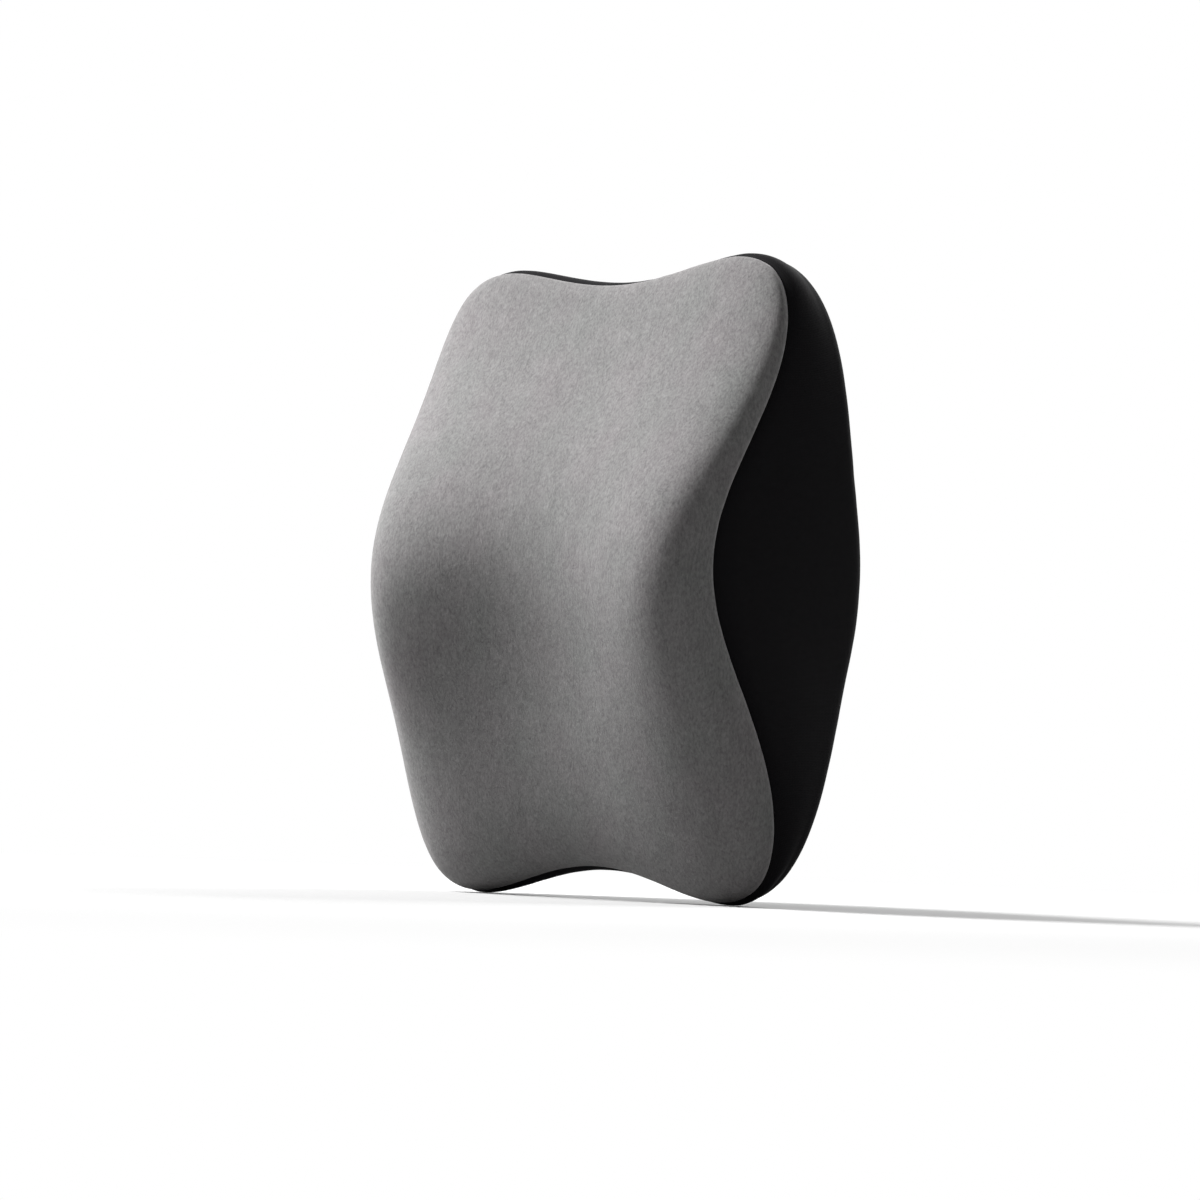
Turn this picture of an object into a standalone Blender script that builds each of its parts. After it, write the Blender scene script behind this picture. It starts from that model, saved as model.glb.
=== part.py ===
"""Car neck pillow: a contoured memory foam core in a liner and a zipped cover, with a buckled elastic strap.

The frame is +Z up and the front of the pillow faces -Y. The origin lies on the back of the cover,
in the middle of the soft ridge that the strap crosses. Lengths are in metres.
"""
import math

import bmesh
import bpy
from mathutils import Vector

# Outline of the front seam, seen from the front: a superellipse with dips and a waist
OUTLINE_HALF_WIDTH = 0.1242
OUTLINE_HALF_HEIGHT = 0.1553
OUTLINE_POWER = 4.0
TOP_DIP = 0.0236
BOTTOM_DIP = 0.0304
WAIST = 0.0190

# Side view: where the front seam, the front dome and the back face lie
BAND_FOOT_DEPTH = 0.0045
SEAM_BULGE = 0.0381
SEAM_BULGE_HEIGHT = 0.0063
SEAM_BULGE_SPREAD = 0.0513
DOME_DEPTH = 0.0340
DOME_HEIGHT = -0.041
DOME_SPREAD = 0.111
DOME_POWER = 3.5
UPPER_BACK_FALL = 0.0456
LOWER_BACK_FALL = 0.0532
BACK_RIDGE_BLEND = 0.020
BACK_EDGE_RADIUS = 0.008
BACK_EDGE_SHARE = 0.75
BACK_EDGE_TURN = math.radians(72)
BACK_FLAT_SHARE = 0.6
BAND_BULGE = 0.0015

# How steeply the two halves of the back fall away from the ridge, and where the seam lies at its ends
UPPER_BACK_SLOPE = UPPER_BACK_FALL / OUTLINE_HALF_HEIGHT
LOWER_BACK_SLOPE = LOWER_BACK_FALL / OUTLINE_HALF_HEIGHT
SEAM_SETBACK = LOWER_BACK_FALL - BACK_RIDGE_BLEND / 4 + BAND_FOOT_DEPTH

# Hollow for the neck, between the crests of the two wings
TROUGH_DEPTH = 0.022
TROUGH_HALF_WIDTH = 0.098
TROUGH_HEIGHT = -0.015
TROUGH_SPREAD = 0.045

# Layers, from the outside in
COVER_THICKNESS = 0.0020
LINER_THICKNESS = 0.0007
LAYER_GAP = 0.0004
SEAM_GAP = 0.0004

# How finely the soft layers are divided
FACE_DIVISIONS = 14
RIM_CROWDING = 1.15
SECTION_SAMPLES = 200
BAND_STRAIGHT_ROWS = 3
BAND_ARC_ROWS = 3
INWARD_EASING = 10

# Zip across the lower back
ZIP_HEIGHT = -0.078
ZIP_SLOT_HALF_WIDTH = 0.006
ZIP_SIDE_MARGIN = 0.0151
TAPE_THICKNESS = 0.0007
TAPE_INNER_EDGE = 0.0009
TOOTH_PITCH = 0.0032
TOOTH_WIDTH = 0.0013
TOOTH_OVERLAP = 0.0005
TOOTH_ROOT = 0.0022
TOOTH_THICKNESS = 0.0014
TEETH_END_ROOM = 0.0095
SLIDER_LENGTH = 0.011
SLIDER_FRONT_WIDTH = 0.0086
SLIDER_REAR_WIDTH = 0.0070
SLIDER_PLATE = 0.0010
SLIDER_FLANGE = 0.0009
SLIDER_NECK_LENGTH = 0.0022
SLIDER_NECK_WIDTH = 0.0010
BAIL_LENGTH = 0.0060
BAIL_WIRE = 0.0011
BAIL_WIDTH = 0.0018
BAIL_RISE = 0.0036
PULL_AXIS_RISE = 0.0014
PULL_BAR = 0.0011
PULL_EYE_LENGTH = 0.0044
PULL_EYE_WIDTH = 0.0030
PULL_LENGTH = 0.0250
PULL_WIDTH = 0.0064
PULL_HOLE_RADIUS = 0.0014
STOP_LENGTH = 0.0028

# Strap and buckle behind the ridge
STRAP_WIDTH = 0.025
STRAP_THICKNESS = 0.0015
STRAP_SIDE_MARGIN = 0.0132
STRAP_SEWN_LENGTH = 0.014
STRAP_RUN_START = 0.054
STRAP_FREE_TAIL = 0.027
STRAP_SEWN_TAIL = 0.014
TAIL_CLOSING_LENGTH = 0.010
PATCH_LENGTH = 0.013
PATCH_WIDTH = 0.031
PATCH_THICKNESS = 0.0010
BUCKLE_STANDOFF = 0.013
BUCKLE_THICKNESS = 0.0092
BUCKLE_WALL = 0.0018
BUCKLE_CORNER = 0.0015
BUCKLE_FIT = 0.0004
SOCKET_LENGTH = 0.0260
SOCKET_END_WALL = 0.0020
PLUG_BLOCK_LENGTH = 0.0060
WEB_SLOT_LENGTH = 0.0066
WEB_SLOT_MARGIN = 0.0008
WEB_ARM_WIDTH = 0.0032
BAR_LENGTH = 0.0032
BAR_THICKNESS = 0.0030
BAR_ROUNDING = 0.0012
ROUNDING_SHARE = 0.4
PRONG_LENGTH = 0.0200
PRONG_WIDTH = 0.0032
PRONG_PAD_LENGTH = 0.0095
PRONG_PAD_REACH = 0.0012
TONGUE_LENGTH = 0.0165
TONGUE_WIDTH = 0.0050
WINDOW_FROM_MOUTH = 0.0060
WINDOW_LENGTH = 0.0125
WINDOW_HEIGHT = 0.0052
KEEPER_POSITION = 0.044
KEEPER_LENGTH = 0.005
KEEPER_WALL = 0.0014

# Room between pieces that touch or run on each other
RUNNING_GAP = 0.0003

# How far a cutter passes the face that it cuts, how near a corner must lie to a cut to join it,
# and how deep joined forms sit in each other
CUT_PAST = 0.001
CUT_REACH = 0.001
EMBED = 0.0003

# Faces of the soft skin, told apart by their material index
FRONT, BAND, BACK_UPPER, BACK_LOWER, ZIP_SLOT = range(5)


def clear_scene():
    for old in list(bpy.data.objects):
        bpy.data.objects.remove(old)


def make_collection(name):
    made = bpy.data.collections.new(name)
    bpy.context.scene.collection.children.link(made)
    return made


def material(name, colour, roughness, metallic=0.0):
    """A Principled material, its colour as linear red, green and blue."""
    made = bpy.data.materials.new(name)
    made.use_nodes = True
    shader = made.node_tree.nodes["Principled BSDF"]
    shader.inputs["Base Color"].default_value = (*colour, 1.0)
    shader.inputs["Roughness"].default_value = roughness
    shader.inputs["Metallic"].default_value = metallic
    return made


# The form of the pillow

def seam_depth(z):
    """How far back the front seam lies at height z: a bell that swells forwards at the neck."""
    lift = (z - SEAM_BULGE_HEIGHT) / SEAM_BULGE_SPREAD
    return -SEAM_SETBACK - SEAM_BULGE * math.exp(-0.5 * lift * lift)


def dome_depth(z):
    """How far the front panel stands forward of its seam at height z."""
    rise = (z - DOME_HEIGHT) / DOME_SPREAD
    return DOME_DEPTH * math.exp(-0.5 * rise * rise)


def trough_depth(x, z):
    """How deep the hollow for the neck lies at a point of the front."""
    rise = (z - TROUGH_HEIGHT) / TROUGH_SPREAD
    side = min(abs(x) / TROUGH_HALF_WIDTH, 1)
    return TROUGH_DEPTH * math.exp(-0.5 * rise * rise) * (1 - side * side) ** 1.5


def back_depth(z):
    """Two flat faces that meet in a rounded ridge through the origin."""
    upper = BACK_RIDGE_BLEND / 4 - UPPER_BACK_SLOPE * z
    lower = BACK_RIDGE_BLEND / 4 + LOWER_BACK_SLOPE * z
    share = max(BACK_RIDGE_BLEND - abs(upper - lower), 0.0) / BACK_RIDGE_BLEND
    return min(upper, lower) - share * share * BACK_RIDGE_BLEND / 4


def seam_outline(across, up):
    """The point of the outline, as x and z, that a point on the edge of the square -1 to 1 goes to."""
    angle = math.atan2(up * math.sqrt(1 - across * across / 2), across * math.sqrt(1 - up * up / 2))
    cosine, sine = math.cos(angle), math.sin(angle)
    radius = (abs(cosine) ** OUTLINE_POWER + abs(sine) ** OUTLINE_POWER) ** (-1 / OUTLINE_POWER)
    side, rise = radius * cosine, radius * sine
    dip = (TOP_DIP if rise > 0 else BOTTOM_DIP) * (1 - side * side) ** 2
    waist = WAIST * (1 - rise * rise) ** 2
    return side * (OUTLINE_HALF_WIDTH - waist), rise * (OUTLINE_HALF_HEIGHT - dip)


def half_width_at(z):
    """How far the outline reaches to the side at height z."""
    rise = abs(z) / OUTLINE_HALF_HEIGHT
    waist = WAIST * (1 - rise * rise) ** 2
    return (OUTLINE_HALF_WIDTH - waist) * (1 - rise ** OUTLINE_POWER) ** (1 / OUTLINE_POWER)


def back_edge_radius(z):
    return min(BACK_EDGE_RADIUS, BACK_EDGE_SHARE * (back_depth(z) - seam_depth(z)))


def rounded_back(x, z, turn):
    """A point on the rounded back edge outward of (x, z), turned from the side (0) towards the back."""
    radius = back_edge_radius(z)
    inset = radius * (1 - math.cos(turn))
    shrink = 1 - inset / math.hypot(x, z)
    depth = back_depth(z * shrink) - radius * (1 - math.sin(turn))
    return Vector((x * shrink, depth, z * shrink))


def dome_section(turn):
    """Reach and height of the dome's section, as shares, turned from the middle (0) to the rim (1)."""
    angle = turn * math.pi / 2
    return math.sin(angle) ** (2 / DOME_POWER), max(math.cos(angle), 0.0) ** (2 / DOME_POWER)


def ring_turns(rings):
    """Where the front's rings lie: evenly along the dome's section, and closer towards the rim."""
    lengths, last = [0.0], (0.0, DOME_DEPTH)
    for i in range(1, SECTION_SAMPLES + 1):
        reach, height = dome_section(i / SECTION_SAMPLES)
        point = (reach * OUTLINE_HALF_WIDTH, height * DOME_DEPTH)
        lengths.append(lengths[-1] + math.dist(point, last))
        last = point
    turns, i = [0.0], 0
    for ring in range(1, rings):
        target = lengths[-1] * (1 - (1 - ring / rings) ** RIM_CROWDING)
        while lengths[i + 1] < target:
            i += 1
        share = (target - lengths[i]) / (lengths[i + 1] - lengths[i])
        turns.append((i + share) / SECTION_SAMPLES)
    return turns + [1.0]


def front_point(across, up, turns):
    """The front: a dome with tight shoulders, and the hollow for the neck in it."""
    edge = max(abs(across), abs(up))
    x, z = seam_outline(across / edge, up / edge) if edge > 1e-6 else (0.0, 0.0)
    reach, height = dome_section(turns[round(edge * (len(turns) - 1))])
    x, z = x * reach, z * reach
    return Vector((x, seam_depth(z) - (dome_depth(z) - trough_depth(x, z)) * height, z))


def band_point(across, up, row):
    """The side band: a straight run back from the seam, and then the rounded back edge."""
    x, z = seam_outline(across, up)
    if row > BAND_STRAIGHT_ROWS:
        return rounded_back(x, z, BACK_EDGE_TURN * (row - BAND_STRAIGHT_ROWS) / BAND_ARC_ROWS)
    share = row / BAND_STRAIGHT_ROWS
    start, end = seam_depth(z), back_depth(z) - back_edge_radius(z)
    swell = 1 + BAND_BULGE * math.sin(math.pi * share) / math.hypot(x, z)
    return Vector((x * swell, start + (end - start) * share, z * swell))


def back_point(across, up):
    """The back panel, flat in each half, inside the seam with the band."""
    ring = max(abs(across), abs(up))
    if ring < 1e-6:
        return Vector((0, back_depth(0), 0))
    edge = rounded_back(*seam_outline(across / ring, up / ring), BACK_EDGE_TURN)
    x, z = edge.x * ring, edge.z * ring
    curl = max(ring - BACK_FLAT_SHARE, 0) / (1 - BACK_FLAT_SHARE)
    return Vector((x, back_depth(z) + (edge.y - back_depth(edge.z)) * curl ** 3, z))


def zip_direction():
    """The way up the lower back face, square to the zip."""
    return Vector((0, LOWER_BACK_SLOPE, 1)).normalized()


def soft_skin():
    """The outside of the cover as one closed mesh of triangles, its panels marked by material index.

    Every layer is made from the same triangles, so two layers never meet in the gap between them.
    """
    rows = BAND_STRAIGHT_ROWS + BAND_ARC_ROWS
    turns = ring_turns(FACE_DIVISIONS // 2)
    bm = bmesh.new()
    bmesh.ops.create_cube(bm, size=2)
    along_depth = [e for e in bm.edges if abs(e.verts[0].co.y - e.verts[1].co.y) > 1]
    bmesh.ops.subdivide_edges(bm, edges=along_depth, cuts=rows - 1)
    across = [e for e in bm.edges if abs(e.verts[0].co.y - e.verts[1].co.y) < 1e-6]
    bmesh.ops.subdivide_edges(bm, edges=across, cuts=FACE_DIVISIONS - 1, use_grid_fill=True)
    for face in bm.faces:
        depth = face.calc_center_median().y
        face.material_index = FRONT if depth < -0.999 else BACK_UPPER if depth > 0.999 else BAND
    for vert in bm.verts:
        across_, depth, up = vert.co
        if depth < -0.999:
            vert.co = front_point(across_, up, turns)
        elif depth > 0.999:
            vert.co = back_point(across_, up)
        else:
            vert.co = band_point(across_, up, round((depth + 1) / 2 * rows))
    split_back(bm)
    bmesh.ops.triangulate(bm, faces=bm.faces, quad_method="SHORT_EDGE")
    bmesh.ops.recalc_face_normals(bm, faces=bm.faces)
    mark_inward(bm)
    return bm


def cut_faces(bm, faces, point, normal):
    """Cuts the given faces along a plane; corners close to it are moved onto it first."""
    edges = {e for f in faces for e in f.edges}
    verts = {v for f in faces for v in f.verts}
    for vert in verts:
        away = (vert.co - point).dot(normal)
        if abs(away) < CUT_REACH:
            vert.co -= normal * away
    bmesh.ops.bisect_plane(
        bm, geom=[*faces, *edges, *verts], dist=1e-6, plane_co=point, plane_no=normal)


def split_back(bm):
    """Parts the back panel round the zip's slot; the strip past the slot's ends goes with the lower half."""
    centre = Vector((0, back_depth(ZIP_HEIGHT), ZIP_HEIGHT))
    way_up = zip_direction()
    for side in (-1, 1):
        faces = [f for f in bm.faces if f.material_index == BACK_UPPER]
        cut_faces(bm, faces, centre + way_up * side * ZIP_SLOT_HALF_WIDTH, way_up)
    for face in bm.faces:
        if face.material_index == BACK_UPPER:
            height = (face.calc_center_median() - centre).dot(way_up)
            if abs(height) < ZIP_SLOT_HALF_WIDTH:
                face.material_index = ZIP_SLOT
            elif height < 0:
                face.material_index = BACK_LOWER
    slot_end = TAPE_LENGTH / 2 + SEAM_GAP
    for side in (-1, 1):
        faces = [f for f in bm.faces if f.material_index == ZIP_SLOT]
        cut_faces(bm, faces, Vector((side * slot_end, 0, 0)), Vector((1, 0, 0)))
    for face in bm.faces:
        if face.material_index == ZIP_SLOT and abs(face.calc_center_median().x) > slot_end:
            face.material_index = BACK_LOWER


def mark_inward(bm):
    """Keeps on each vertex the way into the pillow, evened out so that no layer crosses itself."""
    inward = bm.verts.layers.float_vector.new("inward")
    bm.normal_update()
    for vert in bm.verts:
        vert[inward] = -vert.normal
    for _ in range(INWARD_EASING):
        eased = [sum((e.other_vert(v)[inward] for e in v.link_edges), v[inward].copy()) for v in bm.verts]
        for vert, way in zip(bm.verts, eased):
            vert[inward] = way.normalized()


def sink(verts, bm, depth):
    inward = bm.verts.layers.float_vector["inward"]
    for vert in verts:
        vert.co += vert[inward] * depth


def object_from(bm, name, finish, collection, smooth=True):
    mesh = bpy.data.meshes.new(name)
    bm.to_mesh(mesh)
    bm.free()
    mesh.materials.clear()
    mesh.materials.append(finish)
    for polygon in mesh.polygons:
        polygon.material_index = 0
    if smooth:
        mesh.shade_smooth()
        mesh.set_sharp_from_angle(angle=math.radians(50))
    made = bpy.data.objects.new(name, mesh)
    collection.objects.link(made)
    return made


def open_seam(bm):
    """Draws the panel's edge back by half the seam gap, along the faces it belongs to."""
    moves = {}
    for vert in bm.verts:
        if not vert.is_boundary:
            continue
        inner = [e.other_vert(vert).co for e in vert.link_edges if not e.is_boundary]
        if inner:
            way = sum(((co - vert.co).normalized() for co in inner), Vector())
            moves[vert] = way.normalized() * SEAM_GAP / 2
        else:
            way = vert.link_faces[0].calc_center_median() - vert.co
            moves[vert] = way.normalized() * SEAM_GAP / math.sqrt(2)
    for vert, move in moves.items():
        vert.co += move


def soft_layer(skin, name, finish, collection, panels, depth, thickness):
    """One sewn piece: the skin's panels sunk to a depth and given a wall that grows inwards."""
    bm = skin.copy()
    unwanted = [f for f in bm.faces if f.material_index not in panels]
    bmesh.ops.delete(bm, geom=unwanted, context="FACES")
    open_seam(bm)
    sink(bm.verts, bm, depth)
    grown = bmesh.ops.extrude_face_region(bm, geom=bm.faces[:], use_keep_orig=True)
    inner = [item for item in grown["geom"] if isinstance(item, bmesh.types.BMVert)]
    sink(inner, bm, thickness)
    bmesh.ops.recalc_face_normals(bm, faces=bm.faces)
    return object_from(bm, name, finish, collection)


def make_soft_parts(collection, finishes):
    skin = soft_skin()
    suede, knit, lining, foam = finishes["suede"], finishes["knit"], finishes["lining"], finishes["foam"]
    soft_layer(skin, "front_panel", suede, collection, {FRONT}, 0, COVER_THICKNESS)
    soft_layer(skin, "side_band", knit, collection, {BAND}, 0, COVER_THICKNESS)
    soft_layer(skin, "back_panel_upper", knit, collection, {BACK_UPPER}, 0, COVER_THICKNESS)
    soft_layer(skin, "back_panel_lower", knit, collection, {BACK_LOWER}, 0, COVER_THICKNESS)
    liner_depth = COVER_THICKNESS + LAYER_GAP
    whole_but_mouth = {FRONT, BAND, BACK_UPPER, BACK_LOWER}
    soft_layer(skin, "inner_liner", lining, collection, whole_but_mouth, liner_depth, LINER_THICKNESS)
    core = skin.copy()
    sink(core.verts, core, liner_depth + LINER_THICKNESS + LAYER_GAP)
    object_from(core, "foam_core", foam, collection)
    skin.free()


# Small hard parts

def place(made, at, parent):
    made.location = at
    made.parent = parent
    return made


def box(name, low, high, finish, collection, parent=None):
    """A box between two corners, its origin at its centre."""
    low, high = Vector(low), Vector(high)
    bm = bmesh.new()
    bmesh.ops.create_cube(bm, size=1)
    bmesh.ops.scale(bm, vec=high - low, verts=bm.verts)
    return place(object_from(bm, name, finish, collection, smooth=False), (low + high) / 2, parent)


def plate(name, outline, bottom, top, finish, collection, parent=None, axis="Z", at=(0, 0, 0)):
    """A flat outline given thickness: in XY and grown along Z, or in XZ and grown along Y."""
    bm = bmesh.new()
    if axis == "Z":
        corners = [bm.verts.new((a, b, bottom)) for a, b in outline]
        grow = Vector((0, 0, top - bottom))
    else:
        corners = [bm.verts.new((a, bottom, b)) for a, b in outline]
        grow = Vector((0, top - bottom, 0))
    face = bm.faces.new(corners)
    grown = bmesh.ops.extrude_face_region(bm, geom=[face], use_keep_orig=True)
    moved = [item for item in grown["geom"] if isinstance(item, bmesh.types.BMVert)]
    bmesh.ops.translate(bm, vec=grow, verts=moved)
    bmesh.ops.recalc_face_normals(bm, faces=bm.faces)
    return place(object_from(bm, name, finish, collection, smooth=False), at, parent)


def boolean(target, other, operation):
    modifier = target.modifiers.new(other.name, "BOOLEAN")
    modifier.operation = operation
    modifier.object = other
    other.hide_render = True
    other.display_type = "WIRE"


def cut(target, *others):
    for other in others:
        boolean(target, other, "DIFFERENCE")


def join(target, *others):
    for other in others:
        boolean(target, other, "UNION")


def bevel(target, width, segments=2):
    modifier = target.modifiers.new("Bevel", "BEVEL")
    modifier.width = width
    modifier.segments = segments
    modifier.limit_method = "ANGLE"


def arc(centre, radius, start, end, steps):
    """Points on an arc, its angles in degrees."""
    turns = [math.radians(start + (end - start) * i / steps) for i in range(steps + 1)]
    return [(centre[0] + radius * math.cos(t), centre[1] + radius * math.sin(t)) for t in turns]


def mirrored(half):
    """An outline from its upper half, which runs from one end to the other."""
    return half + [(a, -b) for a, b in reversed(half)]


# Zip: its frame has X along the zip, Z out of the face and Y down it

TAPE_LENGTH = 2 * (half_width_at(ZIP_HEIGHT) - ZIP_SIDE_MARGIN)
TEETH_START = TEETH_END_ROOM - TAPE_LENGTH / 2
TOOTH_COUNT = int((TAPE_LENGTH - 2 * TEETH_END_ROOM) / TOOTH_PITCH)
HALF_TAPE = TAPE_THICKNESS / 2
TEETH_BOTTOM = HALF_TAPE + RUNNING_GAP
TEETH_TOP = TEETH_BOTTOM + TOOTH_THICKNESS
TEETH_END = TEETH_START + (TOOTH_COUNT + 0.25) * TOOTH_PITCH
SLIDER_POSITION = TEETH_END + RUNNING_GAP + SLIDER_NECK_LENGTH - SLIDER_LENGTH / 2
SLIDER_UNDER = TEETH_TOP + RUNNING_GAP
SLIDER_TOP = SLIDER_UNDER + SLIDER_PLATE


def zip_frame(collection):
    frame = bpy.data.objects.new("zip_frame", None)
    frame.location = (0, back_depth(ZIP_HEIGHT), ZIP_HEIGHT)
    frame.rotation_euler = (-math.pi / 2 - math.atan(LOWER_BACK_SLOPE), 0, 0)
    collection.objects.link(frame)
    return frame


def make_tapes(collection, fabric, frame):
    outer = ZIP_SLOT_HALF_WIDTH - SEAM_GAP
    for label, side in (("upper", -1), ("lower", 1)):
        near, far = sorted((side * TAPE_INNER_EDGE, side * outer))
        box(f"zip_tape_{label}", (-TAPE_LENGTH / 2, near, -HALF_TAPE),
            (TAPE_LENGTH / 2, far, HALF_TAPE), fabric, collection, frame)


def tooth_row(side):
    """The outline of a comb whose teeth mesh with those of the other row, half a pitch along."""
    root = side * TOOTH_ROOT
    base = side * (TAPE_INNER_EDGE - RUNNING_GAP)
    tip = -side * TOOTH_OVERLAP
    outline = [(TEETH_START, root), (TEETH_START, base)]
    for i in range(TOOTH_COUNT):
        middle = TEETH_START + (i + 0.5 + side * 0.25) * TOOTH_PITCH
        low, high = middle - TOOTH_WIDTH / 2, middle + TOOTH_WIDTH / 2
        outline += [(low, base), (low, tip), (high, tip), (high, base)]
    return outline + [(TEETH_END, base), (TEETH_END, root)]


def make_teeth(collection, nylon, frame):
    for label, side in (("upper", -1), ("lower", 1)):
        plate(f"zip_teeth_{label}", tooth_row(side), TEETH_BOTTOM, TEETH_TOP, nylon, collection, frame)


def make_stops(collection, nylon, frame):
    """One stop across both rows where the teeth start, and one on each tape past the slider."""
    start = TEETH_START - RUNNING_GAP
    box("zip_bottom_stop", (start - STOP_LENGTH, -TOOTH_ROOT, TEETH_BOTTOM),
        (start, TOOTH_ROOT, TEETH_TOP), nylon, collection, frame)
    end = SLIDER_POSITION + SLIDER_LENGTH / 2 + RUNNING_GAP
    for label, side in (("upper", -1), ("lower", 1)):
        near, far = sorted((side * TAPE_INNER_EDGE, side * (TOOTH_ROOT + TAPE_INNER_EDGE)))
        box(f"zip_top_stop_{label}", (end, near, TEETH_BOTTOM),
            (end + STOP_LENGTH, far, TEETH_TOP), nylon, collection, frame)


def slider_outline():
    """Seen from above: narrow where the closed teeth leave it and wide at the neck, with a tapered nose."""
    half = SLIDER_LENGTH / 2
    rear, front = SLIDER_REAR_WIDTH / 2, SLIDER_FRONT_WIDTH / 2
    nose = front * 0.6
    return mirrored([(-half, rear), (0, rear), (half * 0.35, front), (half * 0.7, front), (half, nose)])


def make_slider(collection, cutters, metal, frame):
    """Two plates with the neck between them, flanges that hold the teeth, and the bail on top."""
    at = (SLIDER_POSITION, 0, 0)
    half = SLIDER_LENGTH / 2
    slider = plate("zip_slider", slider_outline(), SLIDER_UNDER, SLIDER_TOP, metal, collection, frame, at=at)
    under = plate("slider_under_plate", slider_outline(), -TEETH_BOTTOM - SLIDER_PLATE, -TEETH_BOTTOM,
                  metal, cutters, frame, at=at)
    x = SLIDER_POSITION
    neck = box("slider_neck", (x + half - SLIDER_NECK_LENGTH, -SLIDER_NECK_WIDTH / 2, -TEETH_BOTTOM - EMBED),
               (x + half - EMBED, SLIDER_NECK_WIDTH / 2, SLIDER_UNDER + EMBED), metal, cutters, frame)
    flange_side = TOOTH_ROOT + RUNNING_GAP
    flanges = [
        box(f"slider_flange_{label}", (x - half + EMBED, min(near, far), TEETH_BOTTOM),
            (x + half * 0.35, max(near, far), SLIDER_UNDER + EMBED), metal, cutters, frame)
        for label, near, far in (("upper", -flange_side, -flange_side - SLIDER_FLANGE),
                                 ("lower", flange_side, flange_side + SLIDER_FLANGE))]
    bail = box("slider_bail", (x - BAIL_LENGTH / 2, -BAIL_WIDTH / 2, SLIDER_TOP - EMBED),
               (x + BAIL_LENGTH / 2, BAIL_WIDTH / 2, SLIDER_TOP + BAIL_RISE), metal, cutters, frame)
    bail_hole = box("bail_hole", (x - BAIL_LENGTH / 2 + BAIL_WIRE, -BAIL_WIDTH, SLIDER_TOP),
                    (x + BAIL_LENGTH / 2 - BAIL_WIRE, BAIL_WIDTH, SLIDER_TOP + BAIL_RISE - BAIL_WIRE),
                    metal, cutters, frame)
    cut(bail, bail_hole)
    join(slider, under, neck, *flanges, bail)


def make_pull(collection, cutters, metal, frame):
    """A flat puller on the bail; it lies over the closed teeth and its origin is on the hinge."""
    at = Vector((SLIDER_POSITION, 0, SLIDER_TOP + PULL_AXIS_RISE))
    half_bar, half_width = PULL_BAR / 2, PULL_WIDTH / 2
    round_end = arc((-PULL_LENGTH + half_width, 0), half_width, 180, 90, 5)
    outline = mirrored(round_end + [(half_bar, half_width)])
    pull = plate("zip_pull", outline, -half_bar, half_bar, metal, collection, frame, at=at)
    eye = box("pull_eye", at + Vector((-half_bar - PULL_EYE_LENGTH, -PULL_EYE_WIDTH / 2, -PULL_BAR)),
              at + Vector((-half_bar, PULL_EYE_WIDTH / 2, PULL_BAR)), metal, cutters, frame)
    hole = plate("pull_hole", arc((0, 0), PULL_HOLE_RADIUS, 0, 330, 11), -PULL_BAR, PULL_BAR, metal, cutters,
                 frame, at=at + Vector((-PULL_LENGTH + half_width, 0, 0)))
    cut(pull, eye, hole)


def make_zip(collection, cutters, finishes):
    frame = zip_frame(collection)
    make_tapes(collection, finishes["tape"], frame)
    make_teeth(collection, finishes["moulded_black"], frame)
    make_stops(collection, finishes["moulded_black"], frame)
    make_slider(collection, cutters, finishes["zip_metal"], frame)
    make_pull(collection, cutters, finishes["zip_metal"], frame)


# Buckle: its frame has X along the strap, Y out of the back and Z across the strap

BUCKLE_WIDTH = STRAP_WIDTH + 2 * (WEB_SLOT_MARGIN + WEB_ARM_WIDTH)
BUCKLE_LENGTH = (SOCKET_LENGTH + PLUG_BLOCK_LENGTH + RUNNING_GAP
                 + 2 * (WEB_SLOT_LENGTH + BAR_LENGTH))
SOCKET_START = -BUCKLE_LENGTH / 2 + BAR_LENGTH + WEB_SLOT_LENGTH
SOCKET_MOUTH = SOCKET_START + SOCKET_LENGTH
PLUG_FACE = SOCKET_MOUTH + RUNNING_GAP
PLUG_BLOCK_END = PLUG_FACE + PLUG_BLOCK_LENGTH
CHANNEL_HALF = BUCKLE_WIDTH / 2 - BUCKLE_WALL
WEB_BAR_MIDDLE = (BUCKLE_LENGTH - BAR_LENGTH) / 2


def buckle_frame(collection):
    frame = bpy.data.objects.new("buckle_frame", None)
    frame.location = (0, BUCKLE_STANDOFF, 0)
    collection.objects.link(frame)
    return frame


def web_loop(name, side, inner, finish, cutters, frame):
    """The two arms and the bar at one end of the buckle, which the strap turns round."""
    outer = side * BUCKLE_LENGTH / 2
    near, far = sorted((inner - side * SOCKET_END_WALL, outer))
    half_bar, half_width = BAR_THICKNESS / 2, BUCKLE_WIDTH / 2
    loop = box(name, (near, -half_bar, -half_width), (far, half_bar, half_width), finish, cutters, frame)
    slot_half = STRAP_WIDTH / 2 + WEB_SLOT_MARGIN
    near, far = sorted((inner - side * (SOCKET_END_WALL + CUT_PAST), outer - side * BAR_LENGTH))
    slot = box(f"{name}_slot", (near, -BAR_THICKNESS, -slot_half), (far, BAR_THICKNESS, slot_half),
               finish, cutters, frame)
    cut(loop, slot)
    bevel(loop, min(BAR_ROUNDING, ROUNDING_SHARE * WEB_ARM_WIDTH), segments=3)
    return loop


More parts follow.
